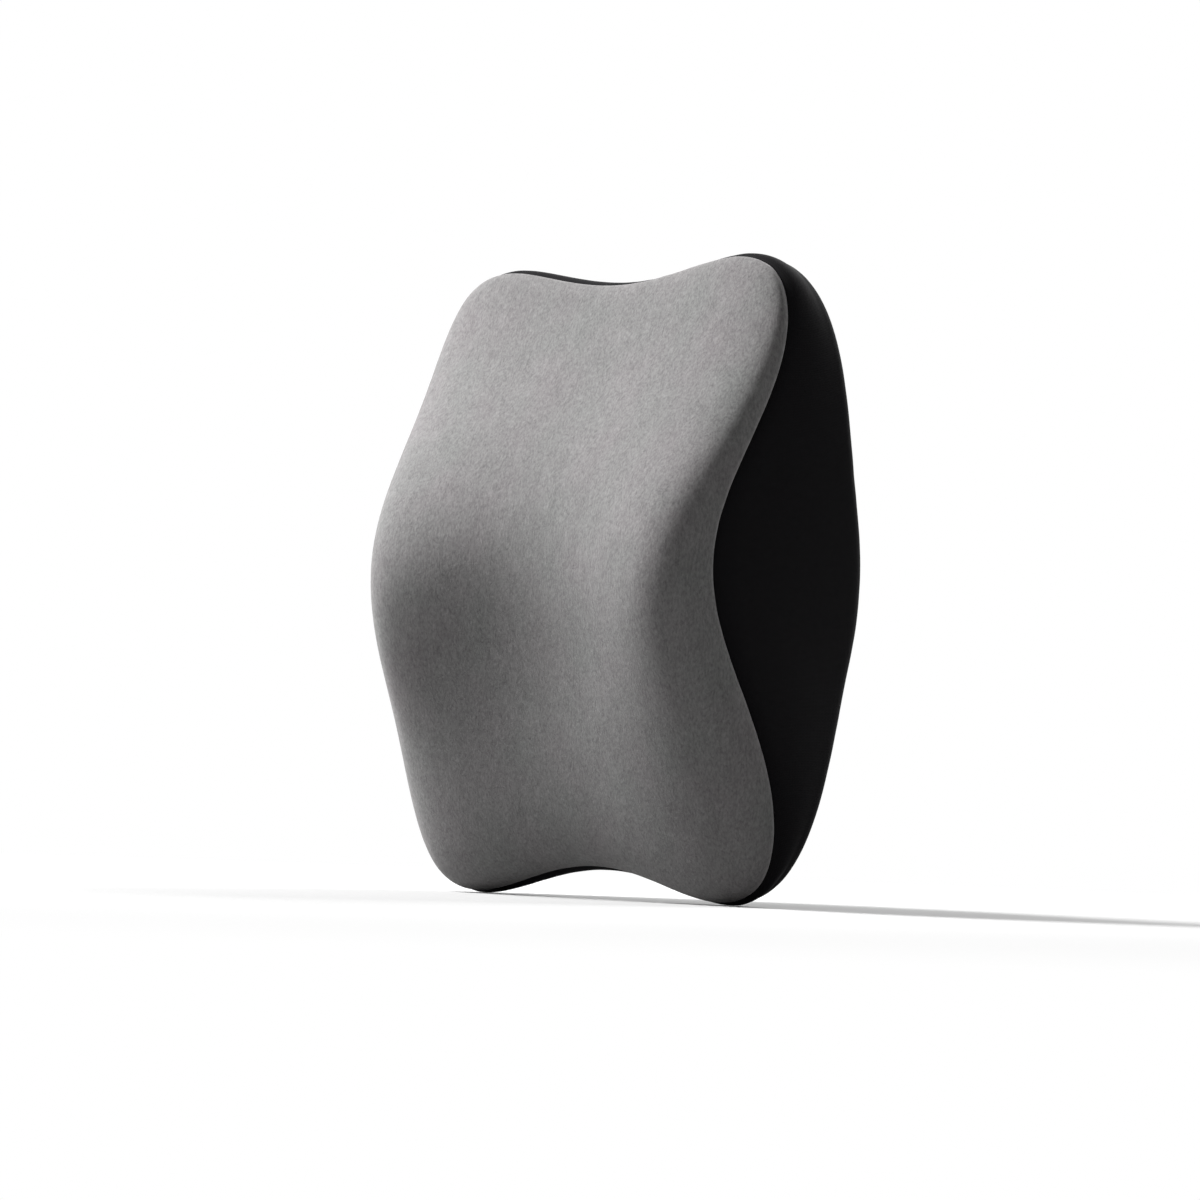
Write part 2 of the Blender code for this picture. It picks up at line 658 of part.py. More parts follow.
def make_socket(collection, cutters, plastic, frame):
    """A flat shell, open at its mouth, with a window in each side for the prong's pad."""
    half, half_width = BUCKLE_THICKNESS / 2, BUCKLE_WIDTH / 2
    corner = (SOCKET_START + BUCKLE_CORNER, half_width - BUCKLE_CORNER)
    outline = mirrored(arc(corner, BUCKLE_CORNER, 180, 90, 4) + [(SOCKET_MOUTH, half_width)])
    socket = plate("buckle_socket", outline, -half, half, plastic, collection, frame, axis="Y")
    bevel(socket, BUCKLE_WALL / 3)
    inside = half - BUCKLE_WALL
    channel = box("socket_channel", (SOCKET_START + SOCKET_END_WALL, -inside, -CHANNEL_HALF),
                  (SOCKET_MOUTH + CUT_PAST, inside, CHANNEL_HALF), plastic, cutters, frame)
    window_end = SOCKET_MOUTH - WINDOW_FROM_MOUTH
    windows = box("socket_windows", (window_end - WINDOW_LENGTH, -WINDOW_HEIGHT / 2, -half_width - CUT_PAST),
                  (window_end, WINDOW_HEIGHT / 2, half_width + CUT_PAST), plastic, cutters, frame)
    loop = web_loop("socket_web_loop", -1, SOCKET_START, plastic, cutters, frame)
    cut(socket, channel, windows)
    join(socket, loop)


def prong_outline():
    """Two springy prongs with pads at their tips, and the guide tongue between them."""
    root = PLUG_FACE + EMBED
    tongue_tip = PLUG_FACE - TONGUE_LENGTH
    prong_tip = PLUG_FACE - PRONG_LENGTH
    pad_root = prong_tip + PRONG_PAD_LENGTH
    pad_side = CHANNEL_HALF - BUCKLE_FIT
    outer = pad_side - PRONG_PAD_REACH
    inner = outer - PRONG_WIDTH
    half_tongue = TONGUE_WIDTH / 2
    return mirrored([
        (tongue_tip, half_tongue * 0.6), (tongue_tip + half_tongue, half_tongue), (PLUG_FACE, half_tongue),
        (PLUG_FACE, inner), (prong_tip + PRONG_WIDTH, inner), (prong_tip, inner + PRONG_WIDTH / 2),
        (prong_tip, outer), (prong_tip + PRONG_WIDTH, pad_side), (pad_root, pad_side),
        (pad_root + PRONG_PAD_REACH, outer), (root, outer)])


def make_plug(collection, cutters, plastic, frame):
    """A block with the prongs in front, inside the socket, and the web loop behind."""
    half, half_width = BUCKLE_THICKNESS / 2, BUCKLE_WIDTH / 2
    corner = (PLUG_BLOCK_END - BUCKLE_CORNER, half_width - BUCKLE_CORNER)
    outline = mirrored([(PLUG_FACE, half_width)] + arc(corner, BUCKLE_CORNER, 90, 0, 4))
    plug = plate("buckle_plug", outline, -half, half, plastic, collection, frame, axis="Y")
    bevel(plug, BUCKLE_WALL / 3)
    inside = half - BUCKLE_WALL - BUCKLE_FIT
    prongs = plate("plug_prongs", prong_outline(), -inside, inside, plastic, cutters, frame, axis="Y")
    loop = web_loop("plug_web_loop", 1, PLUG_BLOCK_END, plastic, cutters, frame)
    join(plug, prongs, loop)


# Strap: each half runs from its sewn end to the buckle's bar, round it and back along itself

STRAP_END = half_width_at(0) - STRAP_SIDE_MARGIN
STRAP_SEAT = RUNNING_GAP + STRAP_THICKNESS / 2
BAR_REACH = math.hypot(BAR_LENGTH / 2 - BAR_ROUNDING, BAR_THICKNESS / 2 - BAR_ROUNDING) + BAR_ROUNDING
BAR_TURN = BAR_REACH + RUNNING_GAP + STRAP_THICKNESS / 2
RUN_DEPTH = BUCKLE_STANDOFF - BAR_TURN
TAIL_DEPTH = RUN_DEPTH + STRAP_THICKNESS + RUNNING_GAP


def soft_step(start, end, steps):
    """Points on an S between two level runs, without its two ends."""
    points = []
    for i in range(1, steps):
        share = i / steps
        lift = (1 - math.cos(math.pi * share)) / 2
        points.append((start[0] + (end[0] - start[0]) * share, start[1] + (end[1] - start[1]) * lift))
    return points


def strap_path(tail_length):
    """The strap's middle line, as distance from the buckle's middle and depth behind the ridge."""
    sewn = (STRAP_END - STRAP_SEWN_LENGTH, STRAP_SEAT)
    run = (STRAP_RUN_START, RUN_DEPTH)
    turn = [(WEB_BAR_MIDDLE - (x - WEB_BAR_MIDDLE), y)
            for x, y in arc((WEB_BAR_MIDDLE, BUCKLE_STANDOFF), BAR_TURN, -90, 90, 8)]
    closed = (WEB_BAR_MIDDLE + TAIL_CLOSING_LENGTH, TAIL_DEPTH)
    tail_end = (WEB_BAR_MIDDLE + tail_length, TAIL_DEPTH)
    return ([(STRAP_END, STRAP_SEAT), sewn] + soft_step(sewn, run, 8) + [run] + turn
            + soft_step(turn[-1], closed, 5) + [closed, tail_end])


def make_strap(name, side, tail_length, elastic, collection):
    bm = bmesh.new()
    edge = [bm.verts.new((side * u, y, -STRAP_WIDTH / 2)) for u, y in strap_path(tail_length)]
    edges = [bm.edges.new(pair) for pair in zip(edge, edge[1:])]
    grown = bmesh.ops.extrude_edge_only(bm, edges=edges)
    moved = [item for item in grown["geom"] if isinstance(item, bmesh.types.BMVert)]
    bmesh.ops.translate(bm, vec=(0, 0, STRAP_WIDTH), verts=moved)
    strap = object_from(bm, name, elastic, collection)
    wall = strap.modifiers.new("Thickness", "SOLIDIFY")
    wall.thickness = STRAP_THICKNESS
    wall.offset = 0
    wall.use_even_offset = True


def make_patch(name, side, fabric, collection, cutters):
    """A folded patch sewn over the strap's end, with the strap in its channel."""
    near, far = sorted((side * (STRAP_END - PATCH_LENGTH), side * STRAP_END))
    channel_top = STRAP_SEAT + STRAP_THICKNESS / 2 + RUNNING_GAP
    patch = box(name, (near, RUNNING_GAP, -PATCH_WIDTH / 2),
                (far, channel_top + PATCH_THICKNESS, PATCH_WIDTH / 2), fabric, collection)
    half = STRAP_WIDTH / 2 + RUNNING_GAP
    channel = box(f"{name}_channel", (near - CUT_PAST, -CUT_PAST, -half),
                  (far + CUT_PAST, channel_top, half), fabric, cutters)
    cut(patch, channel)


def make_keeper(collection, cutters, plastic):
    """A moulded loop round the strap and its free tail, which it slides along."""
    half_length, half = KEEPER_LENGTH / 2, STRAP_WIDTH / 2 + BUCKLE_FIT
    low = RUN_DEPTH - STRAP_THICKNESS / 2 - RUNNING_GAP
    high = TAIL_DEPTH + STRAP_THICKNESS / 2 + RUNNING_GAP
    keeper = box("strap_keeper", (-KEEPER_POSITION - half_length, low - KEEPER_WALL, -half - KEEPER_WALL),
                 (-KEEPER_POSITION + half_length, high + KEEPER_WALL, half + KEEPER_WALL), plastic, collection)
    bevel(keeper, KEEPER_WALL / 2)
    hole = box("keeper_hole", (-KEEPER_POSITION - KEEPER_LENGTH, low, -half),
               (-KEEPER_POSITION + KEEPER_LENGTH, high, half), plastic, cutters)
    cut(keeper, hole)


def make_strap_parts(collection, cutters, finishes):
    plastic, elastic, knit = finishes["moulded_black"], finishes["elastic"], finishes["knit"]
    frame = buckle_frame(collection)
    make_socket(collection, cutters, plastic, frame)
    make_plug(collection, cutters, plastic, frame)
    make_strap("strap_left", -1, STRAP_FREE_TAIL, elastic, collection)
    make_strap("strap_right", 1, STRAP_SEWN_TAIL, elastic, collection)
    make_patch("strap_patch_left", -1, knit, collection, cutters)
    make_patch("strap_patch_right", 1, knit, collection, cutters)
    make_keeper(collection, cutters, plastic)


def main():
    clear_scene()
    collection = make_collection("car_neck_pillow")
    cutters = make_collection("cutters")
    finishes = {
        "suede": material("suede_velour", (0.33, 0.325, 0.33), 0.95),
        "knit": material("black_knit", (0.012, 0.012, 0.013), 0.9),
        "lining": material("white_lining", (0.75, 0.75, 0.73), 0.9),
        "foam": material("memory_foam", (0.85, 0.80, 0.66), 0.95),
        "tape": material("zip_tape", (0.010, 0.010, 0.011), 0.9),
        "moulded_black": material("moulded_black", (0.015, 0.015, 0.016), 0.45),
        "zip_metal": material("black_zip_metal", (0.03, 0.03, 0.032), 0.35, 0.8),
        "elastic": material("elastic_webbing", (0.012, 0.012, 0.013), 0.85),
    }
    make_soft_parts(collection, finishes)
    make_zip(collection, cutters, finishes)
    make_strap_parts(collection, cutters, finishes)


main()
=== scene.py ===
"""Looks of a car neck pillow: a suede velour front and a black knit cover over a contoured foam core.

Everything is in metres and stands where the frame stands: +Z up, the front facing -Y and the origin
on the ridge of the back, which the strap crosses.
"""
import math

import bmesh
import bpy
from bpy.props import FloatProperty, FloatVectorProperty, PointerProperty
from mathutils import Matrix, Vector, geometry, kdtree, noise
from mathutils.bvhtree import BVHTree


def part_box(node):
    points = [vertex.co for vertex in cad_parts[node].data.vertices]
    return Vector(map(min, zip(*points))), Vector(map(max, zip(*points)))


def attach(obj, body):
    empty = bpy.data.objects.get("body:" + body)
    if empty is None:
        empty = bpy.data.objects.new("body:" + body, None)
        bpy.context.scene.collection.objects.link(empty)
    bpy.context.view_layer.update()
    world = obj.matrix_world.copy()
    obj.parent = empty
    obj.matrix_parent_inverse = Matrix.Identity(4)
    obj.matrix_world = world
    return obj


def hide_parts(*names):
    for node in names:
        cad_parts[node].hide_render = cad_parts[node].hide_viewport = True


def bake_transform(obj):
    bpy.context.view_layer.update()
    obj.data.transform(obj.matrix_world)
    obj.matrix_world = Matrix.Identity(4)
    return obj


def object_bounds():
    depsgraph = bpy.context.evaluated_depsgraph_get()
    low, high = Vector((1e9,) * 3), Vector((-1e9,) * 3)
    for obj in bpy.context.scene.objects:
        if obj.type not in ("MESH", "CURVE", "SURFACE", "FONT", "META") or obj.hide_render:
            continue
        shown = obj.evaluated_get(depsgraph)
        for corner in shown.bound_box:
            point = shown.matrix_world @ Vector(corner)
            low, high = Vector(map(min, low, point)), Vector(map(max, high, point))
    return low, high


bl_info = {
    "name": "Car Neck Pillow",
    "version": (1, 0, 0),
    "blender": (4, 5, 0),
    "location": "View3D > Sidebar > Neck Pillow",
    "description": "Dresses a zipped memory foam neck pillow and its elastic strap",
    "category": "Object",
}

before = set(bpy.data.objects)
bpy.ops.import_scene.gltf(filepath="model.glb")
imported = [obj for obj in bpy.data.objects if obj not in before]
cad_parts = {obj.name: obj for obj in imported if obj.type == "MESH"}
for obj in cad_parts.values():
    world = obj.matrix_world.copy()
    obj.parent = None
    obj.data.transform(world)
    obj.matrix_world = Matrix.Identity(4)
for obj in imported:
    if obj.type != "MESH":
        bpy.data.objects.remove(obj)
CAD_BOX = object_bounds()
MM = 0.001
# Two points that lie closer than this are one
TINY = 1e-6

# Bodies of the frame
PILLOW, SLIDER, PULL, PLUG, KEEPER = "pillow", "slider", "pull", "plug", "keeper"

# Faces of the soft skin, told apart by their material index
FRONT, BAND, BACK_UPPER, BACK_LOWER, ZIP_SLOT = range(5)


def linear(hexadecimal):
    """An sRGB hex colour as linear red, green, blue and alpha."""
    parts = [int(hexadecimal[i:i + 2], 16) / 255 for i in (1, 3, 5)]
    return (*[c / 12.92 if c <= 0.04045 else ((c + 0.055) / 1.055) ** 2.4 for c in parts], 1.0)


class PillowForm(bpy.types.PropertyGroup):
    """Sizes that shape the pillow, as the foam is moulded."""

    half_width: FloatProperty(
        name="Half Width", description="From the middle to the seam at the shoulders",
        default=0.1242, min=0.05, unit="LENGTH")
    half_height: FloatProperty(
        name="Half Height", description="From the middle to the seam at the corners' height",
        default=0.1553, min=0.05, unit="LENGTH")
    squareness: FloatProperty(
        name="Squareness", description="Power of the outline: 2 is an ellipse, more is squarer",
        default=4.0, min=2)
    top_dip: FloatProperty(
        name="Top Dip", description="How far the top edge dips in its middle", default=0.0236, unit="LENGTH")
    bottom_dip: FloatProperty(
        name="Bottom Dip", description="How far the bottom edge rises in its middle",
        default=0.0304, unit="LENGTH")
    waist: FloatProperty(
        name="Waist", description="How far each side draws in at mid height", default=0.0190, unit="LENGTH")
    seam_setback: FloatProperty(
        name="Seam Setback", description="How far the front seam lies before the back ridge at its ends",
        default=0.0527, unit="LENGTH")
    seam_bulge: FloatProperty(
        name="Seam Bulge", description="How much further forward the seam swells at the neck",
        default=0.0381, unit="LENGTH")
    dome_depth: FloatProperty(
        name="Dome Depth", description="How far the front stands before its seam",
        default=0.0340, unit="LENGTH")
    dome_power: FloatProperty(
        name="Dome Power",
        description="Power of the front's section: more is flatter with a tighter shoulder",
        default=3.5, min=2)
    trough_depth: FloatProperty(
        name="Trough Depth", description="How deep the hollow for the neck lies between the two wings",
        default=0.022, unit="LENGTH")
    trough_half_width: FloatProperty(
        name="Trough Half Width", description="From the middle of the hollow to the crests of the wings",
        default=0.098, unit="LENGTH")
    upper_slope: FloatProperty(
        name="Upper Back Slope", description="How fast the back runs forward above the ridge",
        default=0.2936)
    lower_slope: FloatProperty(
        name="Lower Back Slope", description="How fast the back runs forward below the ridge",
        default=0.3426)


class CoverLook(bpy.types.PropertyGroup):
    """Seams and colours of the cover."""

    suede: FloatVectorProperty(
        name="Suede", description="Light grey of the velour front", subtype="COLOR", size=3,
        default=linear("#a4a3a3")[:3])
    knit: FloatVectorProperty(
        name="Knit", description="Black of the knitted sides and back", subtype="COLOR", size=3,
        default=linear("#19181a")[:3])
    seam_sink: FloatProperty(
        name="Seam Sink", description="How deep the panels dive into a seam", default=0.0011, unit="LENGTH")
    seam_reach: FloatProperty(
        name="Seam Reach", description="How far from the seam the panels start to dive", default=0.0021,
        unit="LENGTH")
    pucker: FloatProperty(
        name="Pucker", description="How high the cloth puckers along a seam", default=0.00022, unit="LENGTH")


class PartLook(bpy.types.PropertyGroup):
    """Colours of the zip, the strap and the buckle."""

    tape: FloatVectorProperty(
        name="Zip Tape", description="Black of the zip's woven tapes", subtype="COLOR", size=3,
        default=linear("#19191b")[:3])
    enamel: FloatVectorProperty(
        name="Enamel", description="Black enamel of the slider and its pull", subtype="COLOR", size=3,
        default=linear("#1d1d1e")[:3])
    webbing: FloatVectorProperty(
        name="Webbing", description="Black of the elastic strap", subtype="COLOR", size=3,
        default=linear("#1f1f21")[:3])
    plastic: FloatVectorProperty(
        name="Plastic", description="Black of the moulded buckle, keeper and zip teeth",
        subtype="COLOR", size=3,
        default=linear("#1e1e1f")[:3])


class StageLook(bpy.types.PropertyGroup):
    """The camera's place and the studio light."""

    azimuth: FloatProperty(
        name="Azimuth", description="Camera's turn round the pillow from straight in front",
        default=math.radians(48), subtype="ANGLE")
    elevation: FloatProperty(
        name="Elevation", description="Camera's height as an angle",
        default=math.radians(-2.387), subtype="ANGLE")
    roll: FloatProperty(
        name="Roll", description="Camera's tilt about its own axis",
        default=math.radians(2.036), subtype="ANGLE")
    distance: FloatProperty(
        name="Distance", description="From the camera to the middle of the pillow",
        default=2.4, unit="LENGTH")
    lens: FloatProperty(
        name="Lens", description="Focal length in millimetres on a 36 mm sensor",
        default=163.8, unit="CAMERA")
    background: FloatVectorProperty(
        name="Background", description="Pale backdrop",
        subtype="COLOR", size=3, default=linear("#ffffff")[:3])
    key_power: FloatProperty(
        name="Key Power", description="Power of the large soft lamp above the front",
        default=69.0, unit="POWER")
    side_power: FloatProperty(
        name="Side Power", description="Power of the weak lamp low on the left", default=13.0, unit="POWER")
    back_power: FloatProperty(
        name="Back Power", description="Power of the wide soft lamp behind", default=44.0, unit="POWER")
    fill: FloatProperty(
        name="Fill", description="Brightness of the light from all round", default=0.12, subtype="FACTOR")


# Form constants that follow the moulded core and are not changed by hand
SEAM_BULGE_HEIGHT = 0.0063
SEAM_BULGE_SPREAD = 0.0513
DOME_HEIGHT = -0.041
DOME_SPREAD = 0.111
TROUGH_HEIGHT = -0.015
TROUGH_SPREAD = 0.045
BACK_RIDGE_BLEND = 0.020
BACK_EDGE_RADIUS = 0.008
BACK_EDGE_SHARE = 0.75
BACK_EDGE_TURN = math.radians(72)
BACK_FLAT_SHARE = 0.6
BAND_BULGE = 0.0015
ZIP_HEIGHT = -0.078
ZIP_SLOT_HALF_WIDTH = 0.006
ZIP_TAPE_LENGTH = 0.19325
COVER_WALL = 0.0016
SEAM_GAP = 0.0003
LINER_DEPTH = 0.0032
LINER_WALL = 0.0008
FOAM_DEPTH = 0.0044

# Colours that are not changed by hand
THREAD_COLOUR = linear("#26262a")[:3]
LINING_COLOUR = linear("#dfdfdb")[:3]
FOAM_COLOUR = linear("#ece5cf")[:3]
ZINC_COLOUR = linear("#8d8f92")
PAPER_SEEN = linear("#e7e7e7")
PAPER_LIT = linear("#7c7c7c")

# Rows and columns of the meshes, and how deep in the starting cube its two caps begin
COVER_DIVISIONS = 80
COVER_STRAIGHT_ROWS = 12
COVER_ARC_ROWS = 5
CORE_DIVISIONS = 26
CORE_ROWS = 3
RIM_CROWDING = 1.35
SECTION_SAMPLES = 400
CAP_DEPTH = 0.999


# Form of the pillow

def seam_depth(form, z):
    """How far back the front seam lies at height z: a bell that swells forwards at the neck."""
    lift = (z - SEAM_BULGE_HEIGHT) / SEAM_BULGE_SPREAD
    return -form.seam_setback - form.seam_bulge * math.exp(-0.5 * lift * lift)


def dome_depth(form, z):
    """How far the front panel stands forward of its seam at height z."""
    rise = (z - DOME_HEIGHT) / DOME_SPREAD
    return form.dome_depth * math.exp(-0.5 * rise * rise)


def trough_depth(form, x, z):
    """How deep the hollow between the wings lies at a point of the front."""
    rise = (z - TROUGH_HEIGHT) / TROUGH_SPREAD
    side = min(abs(x) / form.trough_half_width, 1)
    return form.trough_depth * math.exp(-0.5 * rise * rise) * (1 - side * side) ** 1.5


def back_depth(form, z):
    """Two flat faces that meet in a rounded ridge through the origin."""
    upper = BACK_RIDGE_BLEND / 4 - form.upper_slope * z
    lower = BACK_RIDGE_BLEND / 4 + form.lower_slope * z
    share = max(BACK_RIDGE_BLEND - abs(upper - lower), 0.0) / BACK_RIDGE_BLEND
    return min(upper, lower) - share * share * BACK_RIDGE_BLEND / 4


def seam_outline(form, across, up):
    """The point of the outline, as x and z, that a point on the edge of the square -1 to 1 goes to."""
    angle = math.atan2(up * math.sqrt(1 - across * across / 2), across * math.sqrt(1 - up * up / 2))
    cosine, sine = math.cos(angle), math.sin(angle)
    radius = (abs(cosine) ** form.squareness + abs(sine) ** form.squareness) ** (-1 / form.squareness)
    side, rise = radius * cosine, radius * sine
    dip = (form.top_dip if rise > 0 else form.bottom_dip) * (1 - side * side) ** 2
    waist = form.waist * (1 - rise * rise) ** 2
    return side * (form.half_width - waist), rise * (form.half_height - dip)


def back_edge_radius(form, z):
    return min(BACK_EDGE_RADIUS, BACK_EDGE_SHARE * (back_depth(form, z) - seam_depth(form, z)))


def rounded_back(form, x, z, turn):
    """A point on the rounded back edge outward of (x, z), turned from the side (0) towards the back."""
    radius = back_edge_radius(form, z)
    inset = radius * (1 - math.cos(turn))
    shrink = 1 - inset / math.hypot(x, z)
    depth = back_depth(form, z * shrink) - radius * (1 - math.sin(turn))
    return Vector((x * shrink, depth, z * shrink))


def dome_section(form, ring):
    """Reach and height of the dome's section, as shares, at a ring from the middle (0) to the rim (1)."""
    angle = ring * math.pi / 2
    return math.sin(angle) ** (2 / form.dome_power), max(math.cos(angle), 0.0) ** (2 / form.dome_power)


def ring_spacing(form, rows):
    """Ring values whose rows lie evenly along the dome's section and crowd a little towards the rim."""
    lengths, last = [0.0], (0.0, form.dome_depth)
    for i in range(1, SECTION_SAMPLES + 1):
        reach, height = dome_section(form, i / SECTION_SAMPLES)
        point = (reach * form.half_width, height * form.dome_depth)
        lengths.append(lengths[-1] + math.dist(point, last))
        last = point
    rings, i = [0.0], 0
    for row in range(1, rows):
        target = lengths[-1] * (1 - (1 - row / rows) ** RIM_CROWDING)
        while lengths[i + 1] < target:
            i += 1
        share = (target - lengths[i]) / (lengths[i + 1] - lengths[i])
        rings.append((i + share) / SECTION_SAMPLES)
    return rings + [1.0]


def front_point(form, across, up, rings):
    rows = len(rings) - 1
    edge = max(abs(across), abs(up))
    if edge < TINY:
        return Vector((0, seam_depth(form, 0) - dome_depth(form, 0) + trough_depth(form, 0, 0), 0))
    x, z = seam_outline(form, across / edge, up / edge)
    reach, height = dome_section(form, rings[round(edge * rows)])
    x, z = x * reach, z * reach
    rise = dome_depth(form, z) - trough_depth(form, x, z)
    return Vector((x, seam_depth(form, z) - rise * height, z))


def band_point(form, across, up, row, straight_rows, arc_rows):
    """The side band: a straight run back from the seam, and then the rounded back edge."""
    x, z = seam_outline(form, across, up)
    if row > straight_rows:
        return rounded_back(form, x, z, BACK_EDGE_TURN * (row - straight_rows) / arc_rows)
    share = row / straight_rows
    start, end = seam_depth(form, z), back_depth(form, z) - back_edge_radius(form, z)
    swell = 1 + BAND_BULGE * math.sin(math.pi * share) / math.hypot(x, z)
    return Vector((x * swell, start + (end - start) * share, z * swell))


def back_point(form, across, up):
    """The back panel, flat in each half, inside the seam with the band."""
    ring = max(abs(across), abs(up))
    if ring < TINY:
        return Vector((0, back_depth(form, 0), 0))
    edge = rounded_back(form, *seam_outline(form, across / ring, up / ring), BACK_EDGE_TURN)
    x, z = edge.x * ring, edge.z * ring
    curl = max(ring - BACK_FLAT_SHARE, 0) / (1 - BACK_FLAT_SHARE)
    return Vector((x, back_depth(form, z) + (edge.y - back_depth(form, edge.z)) * curl ** 3, z))


def soft_skin(form, divisions, straight_rows, arc_rows, easing, hem_rows=()):
    """The outside of the cover as one closed mesh, its panels marked by material index."""
    rows = straight_rows + arc_rows
    rings = ring_spacing(form, divisions // 2)
    bm = bmesh.new()
    bmesh.ops.create_cube(bm, size=2)
    along_depth = [e for e in bm.edges if abs(e.verts[0].co.y - e.verts[1].co.y) > 1]
    bmesh.ops.subdivide_edges(bm, edges=along_depth, cuts=rows - 1)
    crossways = [e for e in bm.edges if abs(e.verts[0].co.y - e.verts[1].co.y) < TINY]
    bmesh.ops.subdivide_edges(bm, edges=crossways, cuts=divisions - 1, use_grid_fill=True)
    for face in bm.faces:
        depth = face.calc_center_median().y
        face.material_index = FRONT if depth < -CAP_DEPTH else BACK_UPPER if depth > CAP_DEPTH else BAND
    for vert in bm.verts:
        across, depth, up = vert.co
        if depth < -CAP_DEPTH:
            vert.co = front_point(form, across, up, rings)
        elif depth > CAP_DEPTH:
            vert.co = back_point(form, across, up)
        else:
            row = round((depth + 1) / 2 * rows)
            vert.co = band_point(form, across, up, row, straight_rows, arc_rows)
    split_back(form, bm, hem_rows)
    bmesh.ops.recalc_face_normals(bm, faces=bm.faces)
    mark_inward(bm, easing)
    return bm


def cut_faces(bm, faces, point, normal):
    edges = dict.fromkeys(e for f in faces for e in f.edges)
    verts = dict.fromkeys(v for f in faces for v in f.verts)
    bmesh.ops.bisect_plane(
        bm, geom=[*faces, *edges, *verts], dist=TINY, plane_co=point, plane_no=normal)


def zip_centre(form):
    return Vector((0, back_depth(form, ZIP_HEIGHT), ZIP_HEIGHT))


def zip_way_up(form):
    return Vector((0, form.lower_slope, 1)).normalized()


def split_back(form, bm, hem_rows):
    """Parts the back panel round the zip's slot; the strip past the slot's ends goes with the lower half."""
    centre, way_up = zip_centre(form), zip_way_up(form)
    for side in (-1, 1):
        faces = [f for f in bm.faces if f.material_index == BACK_UPPER]
        cut_faces(bm, faces, centre + way_up * side * ZIP_SLOT_HALF_WIDTH, way_up)
    for face in bm.faces:
        if face.material_index == BACK_UPPER:
            height = (face.calc_center_median() - centre).dot(way_up)
            if abs(height) < ZIP_SLOT_HALF_WIDTH:
                face.material_index = ZIP_SLOT
            elif height < 0:
                face.material_index = BACK_LOWER
    slot_end = ZIP_TAPE_LENGTH / 2 + SEAM_GAP
    for side in (-1, 1):
        faces = [f for f in bm.faces if f.material_index == ZIP_SLOT]
        cut_faces(bm, faces, Vector((side * slot_end, 0, 0)), Vector((1, 0, 0)))
    for face in bm.faces:
        if face.material_index == ZIP_SLOT and abs(face.calc_center_median().x) > slot_end:
            face.material_index = BACK_LOWER
    for side, panel in ((1, BACK_UPPER), (-1, BACK_LOWER)):
        for row in hem_rows:
            faces = [f for f in bm.faces if f.material_index == panel]
            cut_faces(bm, faces, centre + way_up * side * (ZIP_SLOT_HALF_WIDTH + row), way_up)


def mark_inward(bm, easing):
    """Keeps on each vertex the way into the pillow, evened out so that no layer crosses itself."""
    inward = bm.verts.layers.float_vector.new("inward")
    bm.normal_update()
    for vert in bm.verts:
        vert[inward] = -vert.normal
    for _ in range(easing):
        eased = [sum((e.other_vert(v)[inward] for e in v.link_edges), v[inward].copy()) for v in bm.verts]
        for vert, way in zip(bm.verts, eased):
            vert[inward] = way.normalized()


def sink(bm, verts, depth):
    inward = bm.verts.layers.float_vector["inward"]
    for vert in verts:
        vert.co += vert[inward] * depth


# Panels of the cover

def keep_panels(skin, panels):
    bm = skin.copy()
    unwanted = [f for f in bm.faces if f.material_index not in panels]
    bmesh.ops.delete(bm, geom=unwanted, context="FACES")
    return bm


def seam_distances(bm):
    """For each vertex, how far it lies from the panel's edge, and the nearest point of that edge."""
    edge_verts = [v for v in bm.verts if v.is_boundary]
    tree = kdtree.KDTree(len(edge_verts))
    for i, vert in enumerate(edge_verts):
        tree.insert(vert.co, i)
    tree.balance()
    near = {}
    for vert in bm.verts:
        _, index, away = tree.find(vert.co)
        best = (away, edge_verts[index].co.copy())
        for edge in edge_verts[index].link_edges:
            if edge.is_boundary:
                start, end = edge.verts[0].co, edge.verts[1].co
                point, share = geometry.intersect_point_line(vert.co, start, end)
                point = start.lerp(end, min(max(share, 0), 1))
                best = min(best, ((vert.co - point).length, point), key=lambda found: found[0])
        near[vert] = best
    return near


# Folded hem beside the zip, its stitches, and the cloth's puckers and unevenness
HEM_RISE = 0.0008
HEM_WIDTH = 0.0070
HEM_FOLD = (-0.0004, 0.0012)
HEM_END = (HEM_WIDTH - 0.0008, HEM_WIDTH + 0.0016)
HEM_ROWS = (0.0006, 0.0014, 0.0022, 0.0030, 0.0045, 0.0062, 0.0078, 0.0100)
TOPSTITCH_INSET = 0.0026
TOPSTITCH_SINK = 0.00025
TOPSTITCH_SPREAD = 0.0007
TOPSTITCH_END = 0.001
PUCKER_SPACING = 0.007
PUCKER_REACH = 0.007
UNEVEN_SPACING = 0.045
UNEVEN_HEIGHT = 0.0004
# How far from a seam the suede's painted sheen reaches, which pales the pile seen edge-on there
PAINTED_SEAM_SHEEN_WIDTH = 0.0013


def smooth_step(value, start, end):
    share = min(max((value - start) / (end - start), 0), 1)
    return share * share * (3 - 2 * share)


def at_zip(form, point):
    """Whether a point of a panel's edge lies on the slot that the zip is sewn into."""
    height = abs((point - zip_centre(form)).dot(zip_way_up(form)))
    return height < ZIP_SLOT_HALF_WIDTH + SEAM_GAP and abs(point.x) < ZIP_TAPE_LENGTH / 2 + 2 * SEAM_GAP


def hem_lift(away):
    """The folded hem beside the zip: it stands up, is drawn in along its stitches, and runs out."""
    rise = HEM_RISE * (1 - smooth_step(away, *HEM_END))
    edge = math.sqrt(smooth_step(away, *HEM_FOLD))
    stitched = TOPSTITCH_SINK * math.exp(-((away - TOPSTITCH_INSET) / TOPSTITCH_SPREAD) ** 2)
    return rise * edge - stitched


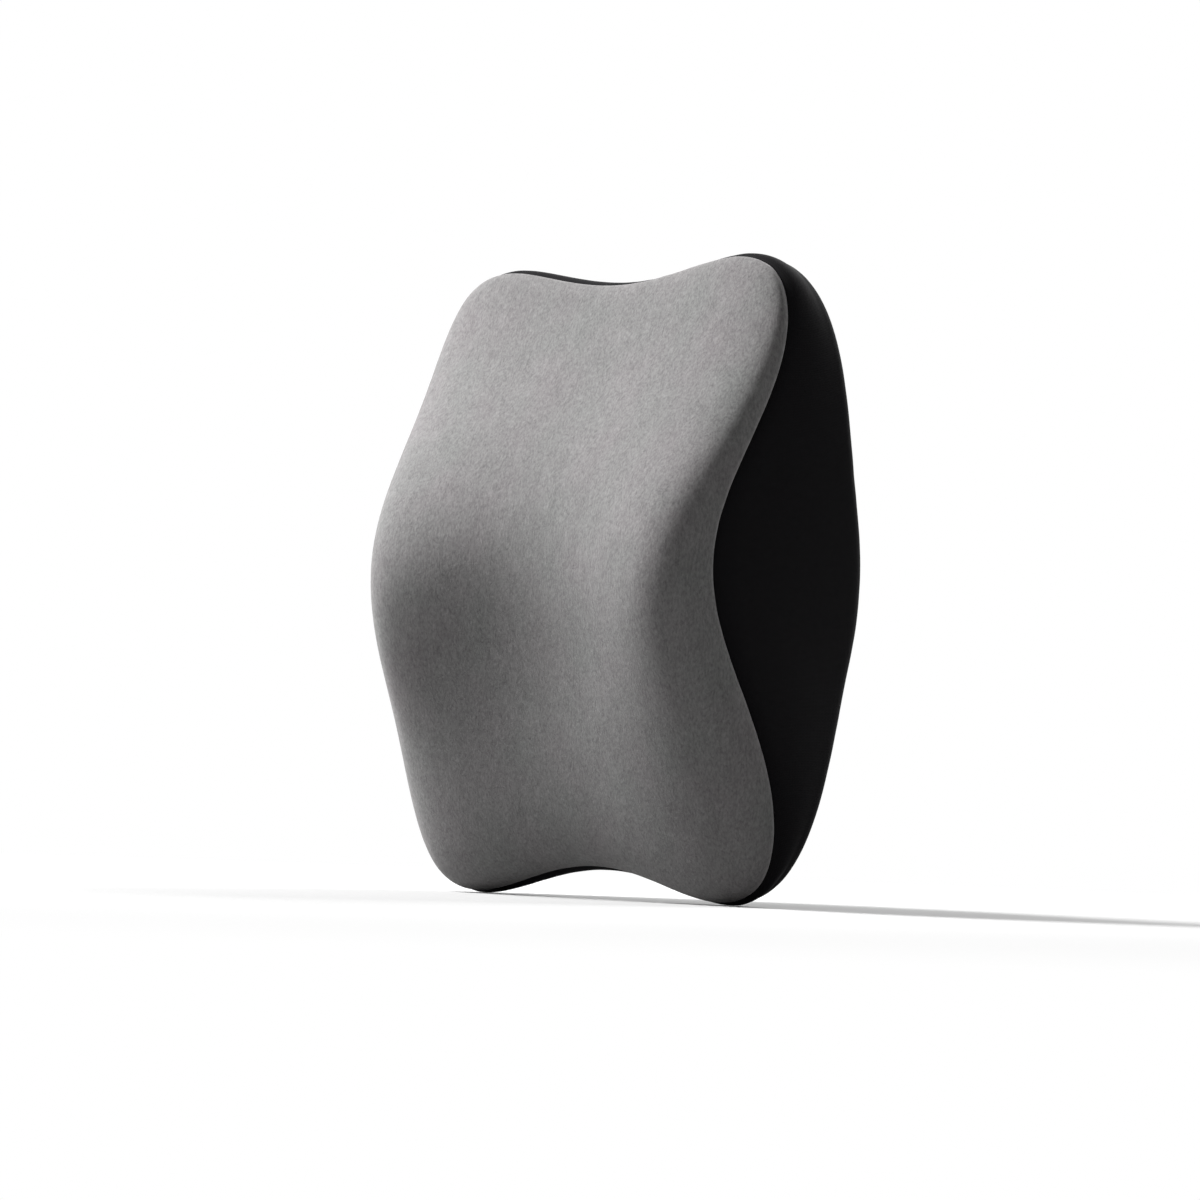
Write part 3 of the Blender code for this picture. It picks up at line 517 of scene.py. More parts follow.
def dress_panel(bm, form, cover):
    """Dives the panel into its seams, puckers it along them and gives it cloth's slight unevenness.

    Each vertex keeps how near it lies to a seam, for a painted sheen where the pile folds into it edge-on."""
    inward = bm.verts.layers.float_vector["inward"]
    seam_rim = bm.verts.layers.float.new("seam_rim")
    moves = []
    for vert, (away, seam_point) in seam_distances(bm).items():
        # Painted sheen: 1 at a seam and fading away from it; the suede's colour is made paler by it
        vert[seam_rim] = math.exp(-(away / PAINTED_SEAM_SHEEN_WIDTH) ** 2)
        if at_zip(form, seam_point):
            dive = -hem_lift(away)
        else:
            dive = cover.seam_sink * math.exp(-(away / cover.seam_reach) ** 2)
        pucker = cover.pucker * noise.noise(seam_point / PUCKER_SPACING) * math.exp(-away / PUCKER_REACH)
        uneven = UNEVEN_HEIGHT * noise.noise(vert.co / UNEVEN_SPACING) * (1 - math.exp(-away / PUCKER_REACH))
        moves.append((vert, vert[inward] * (dive + pucker + uneven)))
    for vert, move in moves:
        vert.co += move


def thicken(bm, wall):
    """Gives an open panel its wall, grown inwards. Its inner rim stays sharp, which keeps the seams shut."""
    crease = bm.edges.layers.float.new("crease_edge")
    grown = bmesh.ops.extrude_face_region(bm, geom=bm.faces[:], use_keep_orig=True)
    inner = {item for item in grown["geom"] if isinstance(item, bmesh.types.BMVert)}
    sink(bm, inner, wall)
    bmesh.ops.recalc_face_normals(bm, faces=bm.faces)
    for edge in bm.edges:
        within = [inner.issuperset(face.verts) for face in edge.link_faces]
        if inner.issuperset(edge.verts) and not all(within):
            edge[crease] = 1.0


# Stitches and finished pieces

STITCH_SPACING = 0.0032
PATCH_STITCH_SPACING = 0.0026
STITCH_GAP = 0.1
THREAD_RADIUS = 0.00026
THREAD_FLATTENED = 1.2
THREAD_STANDS = 0.35


def stitch(bm, start, end, way_out, radius):
    """One stitch of thread, its ends dipping into the cloth."""
    along = (end - start).normalized()
    side = along.cross(way_out).normalized()
    turned = Matrix((side, along.cross(side), along)).transposed().to_4x4()
    stretched = Matrix.Diagonal((radius * THREAD_FLATTENED, radius, (end - start).length / 2, 1))
    middle = (start + end) / 2 + way_out * radius * THREAD_STANDS
    bmesh.ops.create_uvsphere(
        bm, u_segments=8, v_segments=6, radius=1, matrix=Matrix.Translation(middle) @ turned @ stretched)


def stitch_path(bm, surface, corners, spacing):
    """Sews along a path of corners, each stitch seated on the cloth under it."""
    for start, end in zip(corners, corners[1:]):
        count = max(round((end - start).length / spacing), 1)
        for i in range(count):
            first = start.lerp(end, (i + STITCH_GAP) / count)
            last = start.lerp(end, (i + 1 - STITCH_GAP) / count)
            seat, way_out, _, _ = surface.find_nearest(first)
            stitch(bm, seat, surface.find_nearest(last)[0], way_out, THREAD_RADIUS)


def object_from(bm, name, finish):
    mesh = bpy.data.meshes.new(name)
    bm.to_mesh(mesh)
    bm.free()
    mesh.materials.append(finish)
    for polygon in mesh.polygons:
        polygon.material_index = 0
    mesh.shade_smooth()
    made = bpy.data.objects.new(name, mesh)
    bpy.context.scene.collection.objects.link(made)
    return made


def soft_piece(bm, name, node, finish):
    """A padded piece of the pillow, smoothed, in place of its node."""
    made = object_from(bm, name, finish)
    modifier = made.modifiers.new("Subdivision", "SUBSURF")
    modifier.levels = 1
    modifier.render_levels = 1
    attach(made, PILLOW)
    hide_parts(node)


def hard_piece(bm, name, node, finish, width, segments=3):
    """A piece with its edges rounded by a width, in place of its node; what it rides on is left to say."""
    made = object_from(bm, name, finish)
    round_edges(made, width, segments)
    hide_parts(node)
    return made


def thread_piece(bm, name, finish):
    """Thread that is sewn into the pillow's cloth."""
    made = object_from(bm, name, finish)
    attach(made, PILLOW)


def round_edges(made, width, segments=3):
    modifier = made.modifiers.new("Edges", "BEVEL")
    modifier.width = width
    modifier.segments = segments
    modifier.limit_method = "ANGLE"
    modifier.angle_limit = math.radians(30)
    modifier.harden_normals = True


def node_form(node):
    """A CAD node's form, merged and with its flat faces made whole."""
    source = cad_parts[node]
    bm = bmesh.new()
    bm.from_mesh(source.data)
    bm.transform(source.matrix_world)
    bmesh.ops.remove_doubles(bm, verts=bm.verts, dist=TINY)
    bmesh.ops.dissolve_limit(bm, angle_limit=math.radians(0.5), verts=bm.verts, edges=bm.edges)
    return bm


# Length round the side band, and the mean slope of the back's two faces, for the knit's scale
BAND_LENGTH = 0.86
BACK_SLOPE = 0.34


def cloth_uv(bm, flat):
    """Lays the panel out in real metres, so that its knit has one size all over."""
    layer = bm.loops.layers.uv.new("Cloth")
    for face in bm.faces:
        places = [flat(loop.vert.co) for loop in face.loops]
        widest = max(u for u, _ in places)
        for loop, (u, v) in zip(face.loops, places):
            if widest - u > BAND_LENGTH / 2:
                u += BAND_LENGTH
            loop[layer].uv = (u, v)


def band_flat(co):
    return math.atan2(co.x, co.z) / (2 * math.pi) * BAND_LENGTH, co.y


def back_flat(co):
    return co.x, co.z * math.hypot(1, BACK_SLOPE)


def patch_flat(co):
    return co.x, co.z


# Materials

# Sockets of a Mix node that mixes colours: its two inputs and its output
MIX_A, MIX_B, MIX_RESULT = 6, 7, 2


def add_node(tree, kind, inputs=None, **settings):
    """Adds a node with its settings; each input is a value or the socket that feeds it."""
    node = tree.nodes.new(kind)
    for name, value in settings.items():
        setattr(node, name, value)
    for socket, value in (inputs or {}).items():
        if isinstance(value, bpy.types.NodeSocket):
            tree.links.new(value, node.inputs[socket])
        else:
            node.inputs[socket].default_value = value
    return node


def new_material(name):
    """A plain material, its node tree and its Principled shader."""
    made = bpy.data.materials.new(name)
    made.use_nodes = True
    return made, made.node_tree, made.node_tree.nodes["Principled BSDF"]


def toned(colour, *shares):
    """A colour with its channels scaled, all by one share or each by its own, and with its alpha."""
    return (*[channel * share for channel, share in zip(colour, shares * 3)], 1)


def ripple(tree, along, pitch, operation="SINE"):
    """A ripple from -1 to 1 along a length, which comes round once in each pitch."""
    turn = add_node(tree, "ShaderNodeMath", {0: along, 1: 2 * math.pi / pitch}, operation="MULTIPLY")
    return add_node(tree, "ShaderNodeMath", {0: turn.outputs[0]}, operation=operation).outputs[0]


# A Wave texture of scale 1 draws its bands this far apart
WAVE_BAND = 0.314


def suede_velour(colour):
    """Polyester suede velour, brushed and sheared: the short nap scatters light, so it has no gloss,
    a mottle where its fibres lean apart, and a painted sheen: paler along the seams, where they are seen
    from the side."""
    made, tree, shader = new_material("suede_velour")
    place = add_node(tree, "ShaderNodeTexCoord").outputs["Object"]
    brushed = add_node(tree, "ShaderNodeMapping", {
        "Vector": place, "Scale": (1, 1, 0.5), "Rotation": (0, math.radians(12), 0)})
    nap = add_node(tree, "ShaderNodeTexNoise", {
        "Vector": brushed.outputs[0], "Scale": 1 / (0.95 * MM), "Detail": 4, "Roughness": 0.7})
    mottle = add_node(tree, "ShaderNodeTexNoise", {
        "Vector": brushed.outputs[0], "Scale": 1 / (7 * MM), "Detail": 5, "Roughness": 0.65,
        "Distortion": 0.6})
    tint = add_node(tree, "ShaderNodeTexNoise", {"Vector": place, "Scale": 1 / (28 * MM), "Detail": 2})
    hue = add_node(tree, "ShaderNodeMix", {
        0: tint.outputs["Fac"], MIX_A: toned(colour, 1.05, 0.985, 1.015),
        MIX_B: toned(colour, 0.97, 1.01, 0.985)}, data_type="RGBA")
    shade = add_node(tree, "ShaderNodeMapRange", {
        "Value": mottle.outputs["Fac"], "From Min": 0.3, "From Max": 0.7, "To Min": 0.91, "To Max": 1.07})
    grain = add_node(tree, "ShaderNodeMapRange", {
        "Value": nap.outputs["Fac"], "From Min": 0.3, "From Max": 0.7, "To Min": 0.72, "To Max": 1.24})
    # Painted shade: thin darker lines that stand in for fine creases pressed into the nap
    stroked = add_node(tree, "ShaderNodeTexNoise", {
        "Vector": brushed.outputs[0], "Scale": 1 / (5 * MM), "Detail": 3, "Distortion": 1.4})
    off_line = add_node(tree, "ShaderNodeMath", {0: stroked.outputs["Fac"], 1: 0.5}, operation="SUBTRACT")
    away = add_node(tree, "ShaderNodeMath", {0: off_line.outputs[0]}, operation="ABSOLUTE")
    crease = add_node(tree, "ShaderNodeMapRange", {
        "Value": away.outputs[0], "From Min": 0.0, "From Max": 0.04, "To Min": 0.87, "To Max": 1.02})
    # Painted sheen: near a seam the colour is made up to 1.9 times paler, for the pile seen edge-on
    near_seam = add_node(tree, "ShaderNodeAttribute", attribute_name="seam_rim")
    rim = add_node(tree, "ShaderNodeMapRange", {
        "Value": near_seam.outputs["Fac"], "To Min": 1.0, "To Max": 1.9})
    strength = shade.outputs[0]
    for other in (grain, crease, rim):
        both = add_node(tree, "ShaderNodeMath", {0: strength, 1: other.outputs[0]}, operation="MULTIPLY")
        strength = both.outputs[0]
    shown = add_node(tree, "ShaderNodeVectorMath", {
        0: hue.outputs[MIX_RESULT], "Scale": strength}, operation="SCALE")
    tree.links.new(shown.outputs[0], shader.inputs["Base Color"])
    lean = add_node(tree, "ShaderNodeBump", {
        "Strength": 0.35, "Distance": 0.6 * MM, "Height": mottle.outputs["Fac"]})
    bump = add_node(tree, "ShaderNodeBump", {
        "Strength": 0.55, "Distance": 0.35 * MM, "Height": nap.outputs["Fac"], "Normal": lean.outputs[0]})
    tree.links.new(bump.outputs[0], shader.inputs["Normal"])
    shader.inputs["Roughness"].default_value = 0.95
    shader.inputs["Specular IOR Level"].default_value = 0.02
    shader.inputs["Sheen Weight"].default_value = 0.22
    shader.inputs["Sheen Roughness"].default_value = 0.45
    shader.inputs["Sheen Tint"].default_value = (1, 0.985, 0.99, 1)
    return made


def black_knit(colour):
    """Weft-knitted polyester jersey, dyed black: rows of small Vs that take the light softly."""
    made, tree, shader = new_material("black_knit")
    wale, course = 1.1 * MM, 0.9 * MM
    cloth = add_node(tree, "ShaderNodeUVMap", uv_map="Cloth")
    split = add_node(tree, "ShaderNodeSeparateXYZ", {0: cloth.outputs[0]})
    lean = add_node(tree, "ShaderNodeMath", {0: split.outputs[0], 1: wale / 2}, operation="PINGPONG")
    along = add_node(tree, "ShaderNodeMath", {0: lean.outputs[0], 1: 1.0, 2: split.outputs[1]},
                     operation="MULTIPLY_ADD")
    rows = ripple(tree, along.outputs[0], course)
    ribs = ripple(tree, split.outputs[0], wale / 2, "COSINE")
    height = add_node(tree, "ShaderNodeMath", {0: rows, 1: ribs}, operation="ADD")
    level = add_node(tree, "ShaderNodeMapRange", {
        "Value": height.outputs[0], "From Min": -2, "From Max": 2, "To Min": 0, "To Max": 1})
    # Painted shade and highlight: a shaded copy of the knit in the hollows between stitches and a lit copy
    # on their crests, by the bump's height
    shade = add_node(tree, "ShaderNodeMix", {
        0: level.outputs[0], MIX_A: toned(colour, 0.6), MIX_B: toned(colour, 1.5)}, data_type="RGBA")
    tree.links.new(shade.outputs[MIX_RESULT], shader.inputs["Base Color"])
    bump = add_node(tree, "ShaderNodeBump", {
        "Strength": 0.5, "Distance": 0.15 * MM, "Height": level.outputs[0]})
    tree.links.new(bump.outputs[0], shader.inputs["Normal"])
    shader.inputs["Roughness"].default_value = 0.85
    shader.inputs["Specular IOR Level"].default_value = 0.05
    shader.inputs["Sheen Weight"].default_value = 0.06
    shader.inputs["Sheen Roughness"].default_value = 0.5
    return made


def polyester_thread(colour):
    """Twisted polyester sewing thread: a faint gloss, with the twist of its plies across it."""
    made, tree, shader = new_material("polyester_thread")
    place = add_node(tree, "ShaderNodeTexCoord").outputs["Object"]
    twist = add_node(tree, "ShaderNodeTexWave", {"Vector": place, "Scale": WAVE_BAND / (0.5 * MM)},
                     bands_direction="DIAGONAL")
    # Painted shade: darker bands between the plies of the twist
    shade = add_node(tree, "ShaderNodeMix", {
        0: twist.outputs["Fac"], MIX_A: toned(colour, 0.6), MIX_B: toned(colour, 1)}, data_type="RGBA")
    tree.links.new(shade.outputs[MIX_RESULT], shader.inputs["Base Color"])
    shader.inputs["Roughness"].default_value = 0.5
    shader.inputs["Specular IOR Level"].default_value = 0.25
    shader.inputs["Sheen Weight"].default_value = 0.1
    return made


def white_lining(colour):
    """Thin white polyester lining, plain-woven: a slightly glossy, even cloth."""
    made, tree, shader = new_material("white_lining")
    place = add_node(tree, "ShaderNodeTexCoord").outputs["Object"]
    across = add_node(tree, "ShaderNodeTexWave", {"Vector": place, "Scale": WAVE_BAND / (0.8 * MM)},
                      bands_direction="X")
    along = add_node(tree, "ShaderNodeTexWave", {"Vector": place, "Scale": WAVE_BAND / (0.8 * MM)},
                     bands_direction="Z")
    weave = add_node(tree, "ShaderNodeMath", {0: across.outputs["Fac"], 1: along.outputs["Fac"]},
                     operation="MULTIPLY")
    # Painted shade: the weave is darker between its thread crossings, by the bump's height
    shade = add_node(tree, "ShaderNodeMix", {
        0: weave.outputs[0], MIX_A: toned(colour, 0.85), MIX_B: toned(colour, 1)}, data_type="RGBA")
    tree.links.new(shade.outputs[MIX_RESULT], shader.inputs["Base Color"])
    bump = add_node(tree, "ShaderNodeBump", {
        "Strength": 0.3, "Distance": 0.1 * MM, "Height": weave.outputs[0]})
    tree.links.new(bump.outputs[0], shader.inputs["Normal"])
    shader.inputs["Roughness"].default_value = 0.6
    return made


def memory_foam(colour):
    """Slow-rebound polyurethane foam, moulded: matt and cream, with fine open cells."""
    made, tree, shader = new_material("memory_foam")
    place = add_node(tree, "ShaderNodeTexCoord").outputs["Object"]
    cells = add_node(tree, "ShaderNodeTexVoronoi", {"Vector": place, "Scale": 1 / (1.2 * MM)})
    # Painted shade: darker in the pits of the open cells, by the bump's height
    depth = add_node(tree, "ShaderNodeMapRange", {
        "Value": cells.outputs["Distance"], "From Max": 0.7, "To Min": 0.75, "To Max": 1.0})
    shade = add_node(tree, "ShaderNodeVectorMath", {0: colour, "Scale": depth.outputs[0]}, operation="SCALE")
    tree.links.new(shade.outputs[0], shader.inputs["Base Color"])
    bump = add_node(tree, "ShaderNodeBump", {
        "Strength": 0.5, "Distance": 0.3 * MM, "Height": cells.outputs["Distance"]})
    tree.links.new(bump.outputs[0], shader.inputs["Normal"])
    shader.inputs["Roughness"].default_value = 0.9
    return made


def zip_tape_weave(colour):
    """Woven polyester zip tape: a fine herringbone of matt yarns."""
    made, tree, shader = new_material("zip_tape")
    place = add_node(tree, "ShaderNodeTexCoord").outputs["Object"]
    split = add_node(tree, "ShaderNodeSeparateXYZ", {0: place})
    lean = add_node(tree, "ShaderNodeMath", {0: split.outputs["Z"], 1: 0.75 * MM}, operation="PINGPONG")
    slant = add_node(tree, "ShaderNodeMath", {0: split.outputs["X"], 1: lean.outputs[0]}, operation="ADD")
    yarn = add_node(tree, "ShaderNodeMapRange", {
        "Value": ripple(tree, slant.outputs[0], 0.45 * MM), "From Min": -1})
    # Painted shade and highlight: darker in the hollows between the yarns and paler on their tops, by the
    # bump's height
    shade = add_node(tree, "ShaderNodeMix", {
        0: yarn.outputs[0], MIX_A: toned(colour, 0.5), MIX_B: toned(colour, 1.5)}, data_type="RGBA")
    tree.links.new(shade.outputs[MIX_RESULT], shader.inputs["Base Color"])
    bump = add_node(tree, "ShaderNodeBump", {
        "Strength": 0.5, "Distance": 0.08 * MM, "Height": yarn.outputs[0]})
    tree.links.new(bump.outputs[0], shader.inputs["Normal"])
    shader.inputs["Roughness"].default_value = 0.8
    shader.inputs["Specular IOR Level"].default_value = 0.15
    return made


def elastic_webbing(colour):
    """Woven elastic: rubber cores covered in polyester, which give ribs along it and fine cross threads."""
    made, tree, shader = new_material("elastic_webbing")
    place = add_node(tree, "ShaderNodeTexCoord").outputs["Object"]
    split = add_node(tree, "ShaderNodeSeparateXYZ", {0: place})
    ribs = add_node(tree, "ShaderNodeMath", {
        0: ripple(tree, split.outputs["Z"], 2.5 * MM)}, operation="ABSOLUTE")
    picks = ripple(tree, split.outputs["X"], 0.7 * MM)
    height = add_node(tree, "ShaderNodeMath", {0: picks, 1: 0.18, 2: ribs.outputs[0]},
                      operation="MULTIPLY_ADD")
    # Painted shade and highlight: darker between the ribs and cross threads and paler on their crests, by
    # the bump's height
    shade = add_node(tree, "ShaderNodeMix", {
        0: height.outputs[0], MIX_A: toned(colour, 0.35), MIX_B: toned(colour, 1.4)}, data_type="RGBA")
    tree.links.new(shade.outputs[MIX_RESULT], shader.inputs["Base Color"])
    bump = add_node(tree, "ShaderNodeBump", {
        "Strength": 0.7, "Distance": 0.25 * MM, "Height": height.outputs[0]})
    tree.links.new(bump.outputs[0], shader.inputs["Normal"])
    shader.inputs["Roughness"].default_value = 0.7
    shader.inputs["Specular IOR Level"].default_value = 0.18
    shader.inputs["Sheen Weight"].default_value = 0.08
    return made


def worn_edges(tree, radius):
    """How strongly an edge shows, from 0 on a flat to 1 where two faces meet sharply."""
    flat = add_node(tree, "ShaderNodeNewGeometry").outputs["Normal"]
    eased = add_node(tree, "ShaderNodeBevel", {"Radius": radius}, samples=6)
    match = add_node(tree, "ShaderNodeVectorMath", {0: flat, 1: eased.outputs[0]}, operation="DOT_PRODUCT")
    return add_node(tree, "ShaderNodeMapRange", {
        "Value": match.outputs["Value"], "From Min": 0.98, "From Max": 0.80}).outputs[0]


def moulded_acetal(colour):
    """Injection-moulded acetal, spark-eroded: a fine satin grain, a gloss that varies a little, and rubbed
    paler at its edges.
    """
    made, tree, shader = new_material("moulded_black")
    place = add_node(tree, "ShaderNodeTexCoord").outputs["Object"]
    grain = add_node(tree, "ShaderNodeTexNoise", {"Vector": place, "Scale": 1 / (0.35 * MM), "Detail": 2})
    handled = add_node(tree, "ShaderNodeTexNoise", {"Vector": place, "Scale": 1 / (9 * MM), "Detail": 3})
    edges = worn_edges(tree, 0.4 * MM)
    shade = add_node(tree, "ShaderNodeMix", {
        0: edges, MIX_A: toned(colour, 1), MIX_B: toned(colour, 3)}, data_type="RGBA")
    tree.links.new(shade.outputs[MIX_RESULT], shader.inputs["Base Color"])
    gloss = add_node(tree, "ShaderNodeMapRange", {
        "Value": handled.outputs["Fac"], "From Min": 0.3, "From Max": 0.7, "To Min": 0.38, "To Max": 0.5})
    tree.links.new(gloss.outputs[0], shader.inputs["Roughness"])
    bump = add_node(tree, "ShaderNodeBump", {
        "Strength": 0.25, "Distance": 0.05 * MM, "Height": grain.outputs["Fac"]})
    tree.links.new(bump.outputs[0], shader.inputs["Normal"])
    return made


def enamelled_zinc(colour):
    """Die-cast zinc with black enamel: glossy, uneven by a hair, worn to the metal on its edges."""
    made, tree, shader = new_material("black_zip_metal")
    place = add_node(tree, "ShaderNodeTexCoord").outputs["Object"]
    ripple = add_node(tree, "ShaderNodeTexNoise", {"Vector": place, "Scale": 1 / (1.8 * MM), "Detail": 2})
    edges = worn_edges(tree, 0.25 * MM)
    patchy = add_node(tree, "ShaderNodeMapRange", {
        "Value": ripple.outputs["Fac"], "From Min": 0.4, "From Max": 0.65})
    wear = add_node(tree, "ShaderNodeMath", {0: edges, 1: patchy.outputs[0]}, operation="MULTIPLY")
    shade = add_node(tree, "ShaderNodeMix", {
        0: wear.outputs[0], MIX_A: toned(colour, 1), MIX_B: ZINC_COLOUR}, data_type="RGBA")
    tree.links.new(shade.outputs[MIX_RESULT], shader.inputs["Base Color"])
    tree.links.new(wear.outputs[0], shader.inputs["Metallic"])
    bump = add_node(tree, "ShaderNodeBump", {
        "Strength": 0.15, "Distance": 0.1 * MM, "Height": ripple.outputs["Fac"]})
    tree.links.new(bump.outputs[0], shader.inputs["Normal"])
    shader.inputs["Roughness"].default_value = 0.25
    shader.inputs["Coat Weight"].default_value = 0.4
    shader.inputs["Coat Roughness"].default_value = 0.12
    return made


# Operators

class PILLOW_OT_cover(bpy.types.Operator):
    """Make the cover's suede front, knitted band and the two back panels round the zip"""

    bl_idname = "neck_pillow.cover"
    bl_label = "Cover"
    bl_options = {"REGISTER", "UNDO"}

    def execute(self, context):
        form, cover = context.scene.pillow_form, context.scene.cover_look
        skin = soft_skin(
            form, COVER_DIVISIONS, COVER_STRAIGHT_ROWS, COVER_ARC_ROWS, easing=2, hem_rows=HEM_ROWS)
        suede, knit = suede_velour(tuple(cover.suede)), black_knit(tuple(cover.knit))
        thread = polyester_thread(THREAD_COLOUR)
        pieces = (
            ("front_panel_suede", "front_panel", FRONT, suede, "suede_velour", None),
            ("side_band_knit", "side_band", BAND, knit, "black_knit", band_flat),
            ("back_panel_upper_knit", "back_panel_upper", BACK_UPPER, knit, "black_knit", back_flat),
            ("back_panel_lower_knit", "back_panel_lower", BACK_LOWER, knit, "black_knit", back_flat))
        for name, node, panel, finish, slot, flat in pieces:
            bm = keep_panels(skin, {panel})
            dress_panel(bm, form, cover)
            if panel in (BACK_UPPER, BACK_LOWER):
                self.topstitch(form, bm, node, 1 if panel == BACK_UPPER else -1, thread)
            if flat:
                cloth_uv(bm, flat)
            thicken(bm, COVER_WALL)
            soft_piece(bm, name, node, finish)
        skin.free()
        return {"FINISHED"}

    def topstitch(self, form, panel, node, side, thread):
        """Sews the folded hem down beside the zip."""
        row = zip_centre(form) + zip_way_up(form) * side * (ZIP_SLOT_HALF_WIDTH + TOPSTITCH_INSET)
        reach = Vector((ZIP_TAPE_LENGTH / 2 - TOPSTITCH_END, 0, 0))
        bm = bmesh.new()
        stitch_path(bm, BVHTree.FromBMesh(panel), [row - reach, row + reach], STITCH_SPACING)
        thread_piece(bm, f"{node}_topstitch", thread)


class PILLOW_OT_core(bpy.types.Operator):
    """Make the foam core and the lining sewn round it, open at a mouth behind the zip"""

    bl_idname = "neck_pillow.core"
    bl_label = "Foam Core and Lining"
    bl_options = {"REGISTER", "UNDO"}

    def execute(self, context):
        form = context.scene.pillow_form
        skin = soft_skin(form, CORE_DIVISIONS, CORE_ROWS, CORE_ROWS, easing=6)
        lining = keep_panels(skin, {FRONT, BAND, BACK_UPPER, BACK_LOWER})
        sink(lining, lining.verts, LINER_DEPTH)
        thicken(lining, LINER_WALL)
        sink(skin, skin.verts, FOAM_DEPTH)
        pieces = (
            (lining, "lining_sewn", "inner_liner", white_lining(LINING_COLOUR), "white_lining"),
            (skin, "foam_block", "foam_core", memory_foam(FOAM_COLOUR), "memory_foam"))
        for bm, name, node, finish, slot in pieces:
            soft_piece(bm, name, node, finish)
        return {"FINISHED"}


def zip_place(form):
    """The zip's own frame: X along it, Y down the back and Z out of it."""
    turned = Matrix.Rotation(-math.pi / 2 - math.atan(form.lower_slope), 4, "X")
    return Matrix.Translation(zip_centre(form)) @ turned


def grow_profile(bm, corners, way):
    """A bar whose end is a closed outline and which runs along a way."""
    face = bm.faces.new([bm.verts.new(corner) for corner in corners])
    grown = bmesh.ops.extrude_face_region(bm, geom=[face], use_keep_orig=True)
    moved = [item for item in grown["geom"] if isinstance(item, bmesh.types.BMVert)]
    bmesh.ops.translate(bm, vec=way, verts=moved)


# The zip's two rows of teeth, from its bottom end
TOOTH_PITCH = 0.0032
TOOTH_WIDTH = 0.0013
TOOTH_COUNT = 54
TEETH_INSET = 0.0095
# One tooth and one tape from the side, as the way from the zip's middle and the height over the tape
TOOTH_SIDE = ((-0.0005, 0.00065), (0.0009, 0.00065), (0.0011, 0.0001), (0.0022, 0.0001),
              (0.0022, 0.0015), (0.0018, 0.00205), (-0.0005, 0.00205))
TAPE_SIDE = ((0.0009, 0.0), (0.0011, 0.00045), (0.0018, 0.00035),
             (0.0078, 0.00015), (0.0078, -0.00035), (0.0011, -0.00035))
TAPE_TOP = 0.00035
TAPE_ROUNDING = 0.0001
TOOTH_ROUNDING = 0.00018
# The close stitches at each end of the zip
TACK_STITCHES = 13
TACK_SPACING = 0.00045
TACK_REACH = 0.0026
TACK_INSET = 0.0007
TACK_THREAD_RADIUS = 0.62 * TACK_SPACING
# Each cast or moulded part's node, its own name, the body that it rides on and its edges' rounding
ZIP_PARTS = (
    ("zip_bottom_stop", "zip_bottom_stop_moulded", PILLOW, 0.00025),
    ("zip_top_stop_upper", "zip_top_stop_upper_moulded", PILLOW, 0.00025),
    ("zip_top_stop_lower", "zip_top_stop_lower_moulded", PILLOW, 0.00025),
    ("zip_slider", "zip_slider_cast", SLIDER, 0.00022),
    ("zip_pull", "zip_pull_cast", PULL, 0.00030))


